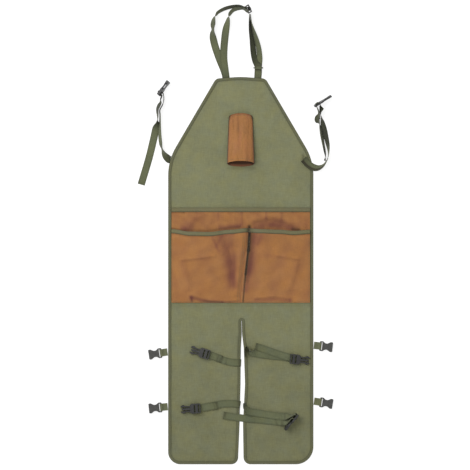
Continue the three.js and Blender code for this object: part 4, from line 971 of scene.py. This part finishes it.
def through_slots(node, place, thickness, slots):
    """Stations of a ribbon through the slots of a part that leans, its width lying along the slots."""
    x, y, heading, lean = place
    turn, tilt = math.radians(heading), math.radians(lean)
    length = np.array([math.cos(turn), math.sin(turn), 0])
    width = np.array([-math.sin(turn) * math.cos(tilt), math.cos(turn) * math.cos(tilt), math.sin(tilt)])
    away = np.cross(length, width)
    spread = np.array([v.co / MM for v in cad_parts[node].data.vertices]) @ width
    height = ((spread.max() + spread.min()) / 2 - x * width[0] - y * width[1]) / width[2]
    behind = -(WEB_THICK / 2 + 2 * CLEARANCE)
    enter, leave = slots
    bend = math.copysign(BAR - WEB_THICK, leave - enter)
    path = [(enter, thickness + SLOT_LEAD), (enter, thickness / 3), (enter + bend, behind),
            (leave - bend, behind), (leave, thickness / 3), (leave, thickness + SLOT_LEAD)]
    stations = []
    for along, off in path:
        at = np.array([x, y, height]) + length * along + away * off
        stations.append((at[0], at[1], at[2] - half_height(lean), lean, *width))
    return stations


def sewn_end(edge, clear=0.0, roll=0):
    point, outward = edge
    return [(*(point + outward * away), clear, roll) for away in (CLEARANCE * 0.2, SEWN)]


def around_bar(x, y, z, facing, wrap):
    bend = []
    for angle in (90, 45, 0, -45, -90):
        turn = math.radians(angle)
        bend.append((x, y + facing * wrap * math.cos(turn), z + wrap * math.sin(turn) - WEB_THICK / 2, 0))
    lead = y - facing * RING_WIRE
    return [(x, lead, bend[0][2], 0), *bend, (x, lead, bend[-1][2], 0)]


UPPER_SECTION = [(1, 0.45), (0.975, 0.9), (0.93, 1), (0.5, 0.94), (0, 0.9), (-0.5, 0.94), (-0.93, 1),
                 (-0.975, 0.9), (-1, 0.45)]
RIBBON_SECTION = [(a, -b) for a, b in UPPER_SECTION[::-1]] + UPPER_SECTION
RIBBON_STEPS = 8


def ribbon_marks(length, side, rng, marks, dim, creases, ends):
    """Shade and gap numbers of a strap, both painted shade, at its lengths and at the places across its
    section.
    """
    whole = length[-1]
    part = (length / whole)[:, None]
    # Painted shade along both edges of the strap
    shade = np.where(abs(side) > 0.9, 0.25, 0.0) + 0 * part
    # Painted shade on runs that turn away from the light
    for first, after, depth in dim:
        shade = shade + depth * smooth((part - first) * 14 + 0.5) * smooth((after - part) * 14 + 0.5)
    dark = 0 * shade
    # Painted shade lines where the strap folds
    for share, depth in marks:
        slant, bow, width, weak = rng.uniform((-3.5, -2.5, 1.9, -1), (3.5, 2.5, 3.4, 1))
        away = (part - share) * whole + slant * side + bow * side * side
        dark = dark + depth * (0.75 + 0.4 * weak * side) * np.exp(-(away / width) ** 2)
    # Painted shadow line along a crease, with painted shade between it and the strap's edge
    for first, after, place, depth in creases:
        run = depth * smooth((part - first) * 30 + 0.6) * smooth((after - part) * 20 + 0.5)
        dark = dark + run * np.exp(-((side - place) / 0.3) ** 2)
        shade = shade + 0.5 * run * np.where(side * place > place * place, 1.0, 0.0)
    # Painted shade at the strap's two ends
    for end, away in zip(ends, (length, whole - length)):
        shade = shade + end * np.exp(-away / 7)[:, None]
    return np.clip(shade, 0, 1).ravel(), np.clip(dark, 0, 0.9).ravel()


def ribbon(name, stations, node, across=None, marks=(), dim=(), creases=(), ends=(0.0, 0.0), seed=0):
    """A webbing strap along its stations. marks are (share of its length, depth) of painted shade lines in
    its folds, dim holds (first share, last share, depth) of painted shade on runs that turn away from the
    light, and creases hold (first share, last share, place across from -1 to 1, depth) of folds that run
    along the strap, drawn as painted shadow lines.
    ends hold the painted shade at its two ends."""
    stations = np.array([tuple(row) + (0,) * (7 - len(row)) for row in stations], float)
    gaps = np.linalg.norm(np.diff(stations[:, :3], axis=0), axis=1)
    knots = np.concatenate([[0], np.cumsum(np.maximum(gaps, 0.05))])
    last = len(stations) - 1

    def curve(values, t):
        i = np.minimum(np.floor(t).astype(int), last - 1)
        f = t - i
        low, high = np.maximum(np.arange(last + 1) - 1, 0), np.minimum(np.arange(last + 1) + 1, last)
        slope = (values[high] - values[low]) / (knots[high] - knots[low])
        gap = knots[i + 1] - knots[i]
        f2, f3 = f * f, f * f * f
        return ((2 * f3 - 3 * f2 + 1) * values[i] + (f3 - 2 * f2 + f) * gap * slope[i]
                + (3 * f2 - 2 * f3) * values[i + 1] + (f3 - f2) * gap * slope[i + 1])

    def centre(t):
        z = np.interp(t, np.arange(last + 1), stations[:, 2]) + half_height(curve(stations[:, 3], t))
        return np.stack([curve(stations[:, 0], t), curve(stations[:, 1], t), z], axis=-1)

    t = np.linspace(0, last, last * RIBBON_STEPS + 1)
    middle = centre(t)
    ahead = centre(np.minimum(t + 0.05, last)) - centre(np.maximum(t - 0.05, 0))
    ahead /= np.linalg.norm(ahead, axis=1)[:, None]
    turn = np.radians(curve(stations[:, 3], t))
    if across is None:
        flat = np.stack([ahead[:, 1], -ahead[:, 0], 0 * t], axis=-1)
        flat /= np.linalg.norm(flat, axis=1)[:, None] + 1e-9
    else:
        flat = np.tile(np.array(across, float), (len(t), 1))
    sideways = flat * np.cos(turn)[:, None] + np.array([0, 0, 1.0]) * np.sin(turn)[:, None]
    held = np.stack([np.interp(t, np.arange(last + 1), stations[:, 4 + k]) for k in range(3)], axis=-1)
    hold = np.interp(t, np.arange(last + 1), np.any(stations[:, 4:] != 0, axis=1).astype(float))
    sideways = sideways * (1 - hold)[:, None] + held
    sideways -= ahead * np.sum(sideways * ahead, axis=1)[:, None]
    sideways /= np.linalg.norm(sideways, axis=1)[:, None]
    faceward = np.cross(ahead, sideways)
    length = lengths(middle)
    rng = np.random.default_rng(seed + 70)
    phase = rng.uniform(0, 2 * math.pi, 3)
    cup = 0.18 * np.sin(length / 19 + phase[0]) + 0.12 * np.sin(length / 7.3 + phase[1])
    rings = np.zeros((len(t), len(RIBBON_SECTION), 3))
    for k, (a, b) in enumerate(RIBBON_SECTION):
        bow = cup * (1 - a * a)
        rings[:, k] = (middle + sideways * (a * WEB_WIDTH / 2)
                       + faceward * ((b * WEB_THICK / 2 + bow)[:, None]))
    points, faces = tube(rings, False)
    side = np.array([a for a, _ in RIBBON_SECTION])
    uv = np.column_stack([np.tile(side * WEB_WIDTH / 2, len(t)), np.repeat(length, len(side))])
    shade, gap = ribbon_marks(length, side, rng, marks, dim, creases, ends)
    tone = 1 + 0.06 * np.sin(length / 23 + phase[2])
    return piece(name, points, faces, WEBBING, [node], uv=uv, shade=shade,
                 tone=np.repeat(tone, len(side)), gap=gap, crease=50)


FIRST_SLOT = BAR + SLOT / 2
RECEPTACLE_SLOTS = (FIRST_SLOT, FIRST_SLOT + SLOT + BAR)
PLUG_SLOTS = (FIRST_SLOT, FIRST_SLOT + SLOT + MIDDLE_BAR)
GLIDE_WINDOW = (GLIDE_LENGTH - 3 * BAR) / 2
GLIDE_SLOTS = (BAR + GLIDE_WINDOW / 2, 2 * BAR + GLIDE_WINDOW * 1.5)

NECK_LEFT_INSET = 26.0
NECK_RIGHT_INSET = 20.0
NECK_LEFT = (-BIB_TOP_WIDTH / 2 + NECK_LEFT_INSET, HALF_LENGTH)
NECK_RIGHT = (BIB_TOP_WIDTH / 2 - NECK_RIGHT_INSET, HALF_LENGTH)
RING_RISE = 24.0
WAIST_Y = HEM_Y + 830
NECK_ROWS = [
    (0.1, -0.22, 0), (0.24, -0.78, 0), (0.39, -1.3, 0), (0.51, -1.62, 12), (0.59, -1.74, 40),
    (0.66, -1.72, 70), (0.74, -1.7, 50), (0.83, -1.52, 74), (0.868, -1.27, 102), (0.905, -0.98, 110),
    (0.955, -0.06, 114), (0.985, 1.1, 112), (0.99, 2.1, 102),
]
NECK_TAIL = [
    (0.955, 2.45, 76), (0.958, 1.85, 68), (0.932, 1.05, 64), (0.868, 0.52, 72), (0.83, 0.43, 104),
    (0.77, 0.32, 128), (0.66, 0.07, 162), (0.52, -0.1, 180, 0.6), (0.38, -0.21, 180, LAYER / WEB_THICK),
    (0.24, -0.22, 180, LAYER / WEB_THICK), (0.1, -0.06, 180, LAYER / WEB_THICK),
]
LOOP_DOWN = [
    (0.925, -1.22, -88), (0.78, -1.2, -80), (0.68, -1.13, -71), (0.585, -1.02, -62), (0.49, -0.88, -53),
    (0.39, -0.78, -45), (0.295, -0.69, -39), (0.19, -0.56, -36, 1), (0.09, -0.26, -14, 4),
]
LOOP_UP = [
    (0.09, 0.06, 12, 2), (0.19, 0.18, 40, 1), (0.295, 0.1, 44), (0.39, -0.05, 46), (0.49, -0.26, 53),
    (0.585, -0.51, 60), (0.68, -0.78, 70), (0.78, -0.98, 80), (0.92, -1.06, 88),
]
WAIST_LEFT_ROWS = [
    (0.11, -0.48, 46), (0.195, -0.82, 80), (0.277, -1.0, 66), (0.413, -1.12, 66), (0.55, -1.12, 74),
    (0.66, -1.1, 80), (0.74, -1.1, 82), (0.82, -1.12, 82), (0.9, -0.76, 84), (0.98, -0.58, 92, 1),
]
WAIST_LEFT_TAIL = [
    (0.98, -1.02, 88, 1), (0.94, -1.02, 106), (0.89, -1.26, 116), (0.826, -1.46, 110), (0.71, -1.42, 98),
    (0.643, -1.46, 84), (0.6, -1.5, 56), (0.52, -1.68, 16), (0.34, -2.02, 0), (0.05, -2.63, 0),
    (-0.37, -3.7, 0),
]
WAIST_RIGHT_ROWS = [
    (0.036, -1.36, 20, 3.1), (-0.048, -0.67, 12, 3.1), (-0.1, 0.1, 20, 3.1), (-0.1, 0.8, 48, 1),
    (-0.055, 1.42, 74), (0.03, 1.9, 88), (0.1, 2.06, 94), (0.18, 2.06, 106), (0.272, 1.955, 121),
    (0.387, 1.74, 130), (0.5, 1.55, 130), (0.6, 1.28, 129), (0.68, 1.12, 104), (0.77, 0.98, 84),
    (0.85, 1.12, 58),
]
WAIST_RIGHT_TAIL = [
    (0.8, 0.7, 98), (0.75, 0.75, 106), (0.67, 0.545, 140), (0.63, 0.71, 110), (0.59, 0.85, 88),
    (0.54, 0.96, 74), (0.48, 1.07, 66), (0.4, 1.18, 64.5), (0.295, 1.33, 70), (0.16, 1.55, 75),
    (0.09, 1.63, 84), (0.01, 1.56, 104),
]
LEG_STRAPS = [
    ("upper_left", -1, 305, 0.584,
     [(0, -1.36, 0, 1), (0.2, -1.3, 0, 0.4), (0.44, -0.96, 0), (0.71, -0.32, 0), (0.89, -0.05, 0)],
     [(0.89, -0.05, 0), (0.71, -0.34, 0), (0.46, -0.86, 0)], None,
     ((0.03, 0.6), (0.26, 0.4), (0.33, 0.45), (0.93, 0.4), (0.985, 0.6))),
    ("upper_right", 1, 305, 0.804,
     [(0.02, -0.5, 88, 1), (0.01, 0.34, 88, 1), (0.045, 0.95, 88, 1), (0.09, 0.6, 80, 1),
      (0.125, 0.12, 40, 0.4), (0.23, -0.1, 0), (0.4, -0.32, 0), (0.67, -0.55, 0), (0.9, -0.82, 0)],
     [(0.9, -0.82, 0), (0.67, -0.36, 0), (0.5, 0.1, 0), (0.32, 0.6, 0), (0.2, 0.9, 0)], None,
     ((0.03, 0.7), (0.075, 0.6), (0.12, 0.7), (0.165, 0.4), (0.985, 0.5))),
    ("lower_left", -1, 160, 0.69,
     [(0, 0.16, 0, 1), (0.17, 0.32, 0, 0.4), (0.36, 0.26, 0), (0.56, 0.03, 0), (0.73, -0.2, 0),
      (0.91, -0.37, 0)],
     [(0.91, -0.37, 0), (0.73, -0.22, 0), (0.58, -0.06, 0), (0.45, 0.04, 0)], None,
     ((0.02, 0.4), (0.95, 0.35), (0.985, 0.5))),
    ("lower_right", 1, 160, 0.744,
     [(0.02, 0.42, 70, 1), (0.03, -0.2, 60, 1), (0.1, -0.75, 14, 1), (0.23, -0.93, 0, 0.6), (0.46, -1.22, 0),
      (0.72, -1.45, 0), (0.84, -1.38, 58), (0.92, -1.25, 86)],
     [(0.84, -1.93, 118), (0.74, -2.2, 168), (0.5, -2.05, 180), (0.25, -1.86, 180, 0.4),
      (0.04, -1.72, 180, 1), (-0.14, -1.56, 180, 1), (-0.37, -1.3, 180, 0.2)], (1.01, -1.18, 231, 78),
     ((0.02, 0.5), (0.34, 0.4), (0.53, 0.6), (0.575, 0.55), (0.62, 0.45), (0.99, 0.6))),
]


def make_neck():
    edge = edge_near(*NECK_LEFT)
    glide = (NECK_LEFT[0] + 2.97 * WEB_WIDTH, NECK_LEFT[1] + 1.005 * NECK_REACH, -64, 70)
    ribbon("neck_strap_web", [
        *sewn_end(edge),
        *stations_of(NECK_ROWS, NECK_LEFT, NECK_REACH),
        *through_slots("neck_glide", glide, GLIDE_THICK, GLIDE_SLOTS),
        *stations_of(NECK_TAIL, NECK_LEFT, NECK_REACH),
        *sewn_end(edge, LAYER, 180)[::-1],
    ], "neck_strap", dim=((0, 0.18, 0.12), (0.2, 0.33, 0.35), (0.36, 0.62, 0.45), (0.8, 1, 0.15)),
        marks=((0.27, 0.3), (0.33, 0.35), (0.405, 0.4), (0.425, 0.35)), ends=(0.6, 0.6), seed=1)
    ring_y = NECK_RIGHT[1] + RING_RISE
    wrap = RING_WIRE * 0.62 + CLEARANCE + WEB_THICK / 2
    lower = wrap + WEB_THICK / 2 + CLEARANCE
    upper = lower - RING_WIRE + RING_HEIGHT
    ring = (NECK_RIGHT[0], ring_y)
    ribbon("neck_loop_web", [
        *stations_of(LOOP_DOWN, ring, LOOP_REACH, CLEARANCE),
        *around_bar(*ring, upper, -1, wrap),
        *stations_of(LOOP_UP, ring, LOOP_REACH, CLEARANCE),
    ], "neck_strap_loop", across=(1, 0, 0), dim=((0.06, 0.47, 0.7),),
        marks=((0.47, 0.6), (0.53, 0.5)), seed=2)
    tab_edge = edge_near(*NECK_RIGHT)
    ribbon("neck_tab_web", [
        *sewn_end(tab_edge, LAYER),
        *around_bar(*ring, lower, 1, wrap),
        (NECK_RIGHT[0], mix(NECK_RIGHT[1], ring_y, 0.5), 0, 0),
        *sewn_end(tab_edge)[::-1],
    ], "neck_tab", across=(1, 0, 0), marks=((0.36, 0.5), (0.42, 0.6)), ends=(0.5, 0.4), seed=3)


def make_waist():
    left, right = (-HALF_WIDTH, WAIST_Y), (HALF_WIDTH, WAIST_Y)
    receptacle = (left[0] - 1.47 * WEB_WIDTH, left[1] + 1.065 * WAIST_REACH, 54, 81)
    plug = (right[0] + 0.06 * WEB_WIDTH, right[1] + 0.885 * WAIST_REACH, 32, 99)
    ribbon("waist_left_web", [
        *sewn_end(edge_near(left[0], left[1] + 0.04 * WAIST_REACH)),
        *stations_of(WAIST_LEFT_ROWS, left, WAIST_REACH),
        *through_slots("waist_receptacle", receptacle, RECEPTACLE_THICK, RECEPTACLE_SLOTS[::-1]),
        *stations_of(WAIST_LEFT_TAIL, left, WAIST_REACH),
    ], "waist_strap_left", dim=((0, 0.12, 0.35), (0.3, 0.6, 0.8)),
        marks=((0.1, 0.5), (0.345, 0.8), (0.39, 0.7), (0.425, 0.6), (0.56, 0.7), (0.61, 0.6)),
        ends=(0.7, 0.3), seed=4)
    ribbon("waist_right_web", [
        *stations_of(WAIST_RIGHT_ROWS, right, WAIST_REACH),
        *through_slots("waist_plug", plug, PLUG_THICK, PLUG_SLOTS[::-1]),
        *stations_of(WAIST_RIGHT_TAIL, right, WAIST_REACH),
    ], "waist_strap_right", dim=((0.28, 0.5, 0.8), (0.5, 0.78, 0.6), (0.92, 1.1, 0.9)),
        marks=((0.5, 0.6), (0.56, 0.6), (0.63, 0.6), (0.985, 0.6)), creases=((0, 0.17, 0.5, 0.9),),
        ends=(0.6, 0.6), seed=5)


def make_leg_straps():
    floor, over_tape = FRONT_FACE + CLEARANCE, EDGE_TOP - FRONT_FACE
    for number, (name, side, height, share, rows, tail, plug, marks) in enumerate(LEG_STRAPS):
        slit_side = SLIT_RIGHT if side > 0 else SLIT_LEFT
        origin = (SLIT_HEM_WIDTH * np.interp(height / SLIT_LENGTH, SLIT_UP, slit_side), HEM_Y + height)
        reach = share * HALF_WIDTH
        out_layer, back_layer = (LAYER, 0.0) if plug else (0.0, LAYER)

        def station(row, level):
            lift = row[3] if len(row) > 3 else 0
            return (origin[0] + side * row[0] * reach, origin[1] + row[1] * WEB_WIDTH,
                    floor + level + lift * over_tape, row[2])

        if plug:
            place = (origin[0] + side * plug[0] * reach, origin[1] + plug[1] * WEB_WIDTH, *plug[2:])
            bend = through_slots(f"leg_plug_{name}", place, PLUG_THICK, PLUG_SLOTS)
        else:
            end = rows[-1]
            bend = []
            for share in (0.25, 0.5, 0.75):
                out = end[0] + math.sin(share * math.pi) * LAYER / 2 / reach
                level = mix(out_layer, back_layer, (1 - math.cos(share * math.pi)) / 2)
                bend.append(station((out, end[1], 0), level))
        stations = [*[station(r, out_layer) for r in rows], *bend, *[station(r, back_layer) for r in tail]]
        ribbon(f"leg_{name}_web", stations, f"leg_strap_{name}", across=None if plug else (0, side, 0),
               marks=marks, ends=(0.6, 0.3), seed=10 + number)


# Hard parts keep the solids' shapes, with rounded edges and a moulded finish


HARD_EDGE = 0.4
HARD_EDGE_ANGLE = 35


def finish_hard_parts():
    for name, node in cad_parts.items():
        if any(word in name for word in ("receptacle", "plug", "glide", "ring")):
            dark = "side_receptacle" not in name
            node.data.materials.clear()
            node.data.materials.append(DARK_BUCKLE if dark else BUCKLE)
            rounded = node.modifiers.new("rounded", "BEVEL")
            rounded.width = HARD_EDGE * MM
            rounded.segments = 2
            rounded.limit_method = "ANGLE"
            rounded.angle_limit = math.radians(HARD_EDGE_ANGLE)
        elif name.startswith("side_tab"):
            node.data.materials.clear()
            node.data.materials.append(TAB)
            give_numbers(node.data, shade=0.08)


# Floor, light and camera


def make_stage():
    floor_material = Nodes("floor", 0.9)
    floor_material.shader.inputs["Base Color"].default_value = (0.3, 0.3, 0.3, 1.0)
    floor_material.shader.inputs["Emission Color"].default_value = (1.0, 1.0, 1.0, 1.0)
    floor_material.shader.inputs["Emission Strength"].default_value = 0.8
    bpy.ops.mesh.primitive_plane_add(size=12, location=(0, 0, -0.0004))
    floor = bpy.context.object
    floor.name = "floor"
    floor.data.materials.append(floor_material.material)
    world = bpy.data.worlds.new("studio")
    bpy.context.scene.world = world
    world.use_nodes = True
    world.node_tree.nodes["Background"].inputs["Color"].default_value = (1.0, 1.0, 1.0, 1.0)
    world.node_tree.nodes["Background"].inputs["Strength"].default_value = 0.62
    for name, place, size, power in (
        ("key", (-2.0, 1.6, 2.8), 2.8, 108.0),
        ("fill", (1.6, -1.2, 2.6), 2.2, 12.0),
    ):
        data = bpy.data.lights.new(name, "AREA")
        data.energy = power
        data.size = size
        lamp = bpy.data.objects.new(name, data)
        lamp.location = place
        aim = Vector((0, 0.05, 0)) - lamp.location
        lamp.rotation_mode = "QUATERNION"
        lamp.rotation_quaternion = aim.to_track_quat("-Z", "Y")
        bpy.context.scene.collection.objects.link(lamp)


LENS = 300.0
SENSOR = 36.0


def make_camera():
    centre_x, centre_y = spot(PHOTO_SIZE / 2, PHOTO_SIZE / 2)
    data = bpy.data.cameras.new("camera")
    data.lens = LENS
    data.sensor_width = SENSOR
    data.clip_end = 50
    camera = bpy.data.objects.new("camera", data)
    distance = PHOTO_SIZE * PIXEL * LENS / SENSOR
    camera.location = (centre_x * MM, centre_y * MM, (distance + EDGE_TOP) * MM)
    bpy.context.scene.collection.objects.link(camera)
    bpy.context.scene.camera = camera


make_camera()
make_stage()
make_panel()
make_edge_tape()
make_pockets()
make_sleeve()
make_neck()
make_waist()
make_leg_straps()
make_stitches()
finish_hard_parts()
bpy.context.scene.view_settings.view_transform = "Standard"
bpy.context.scene.view_settings.look = "None"
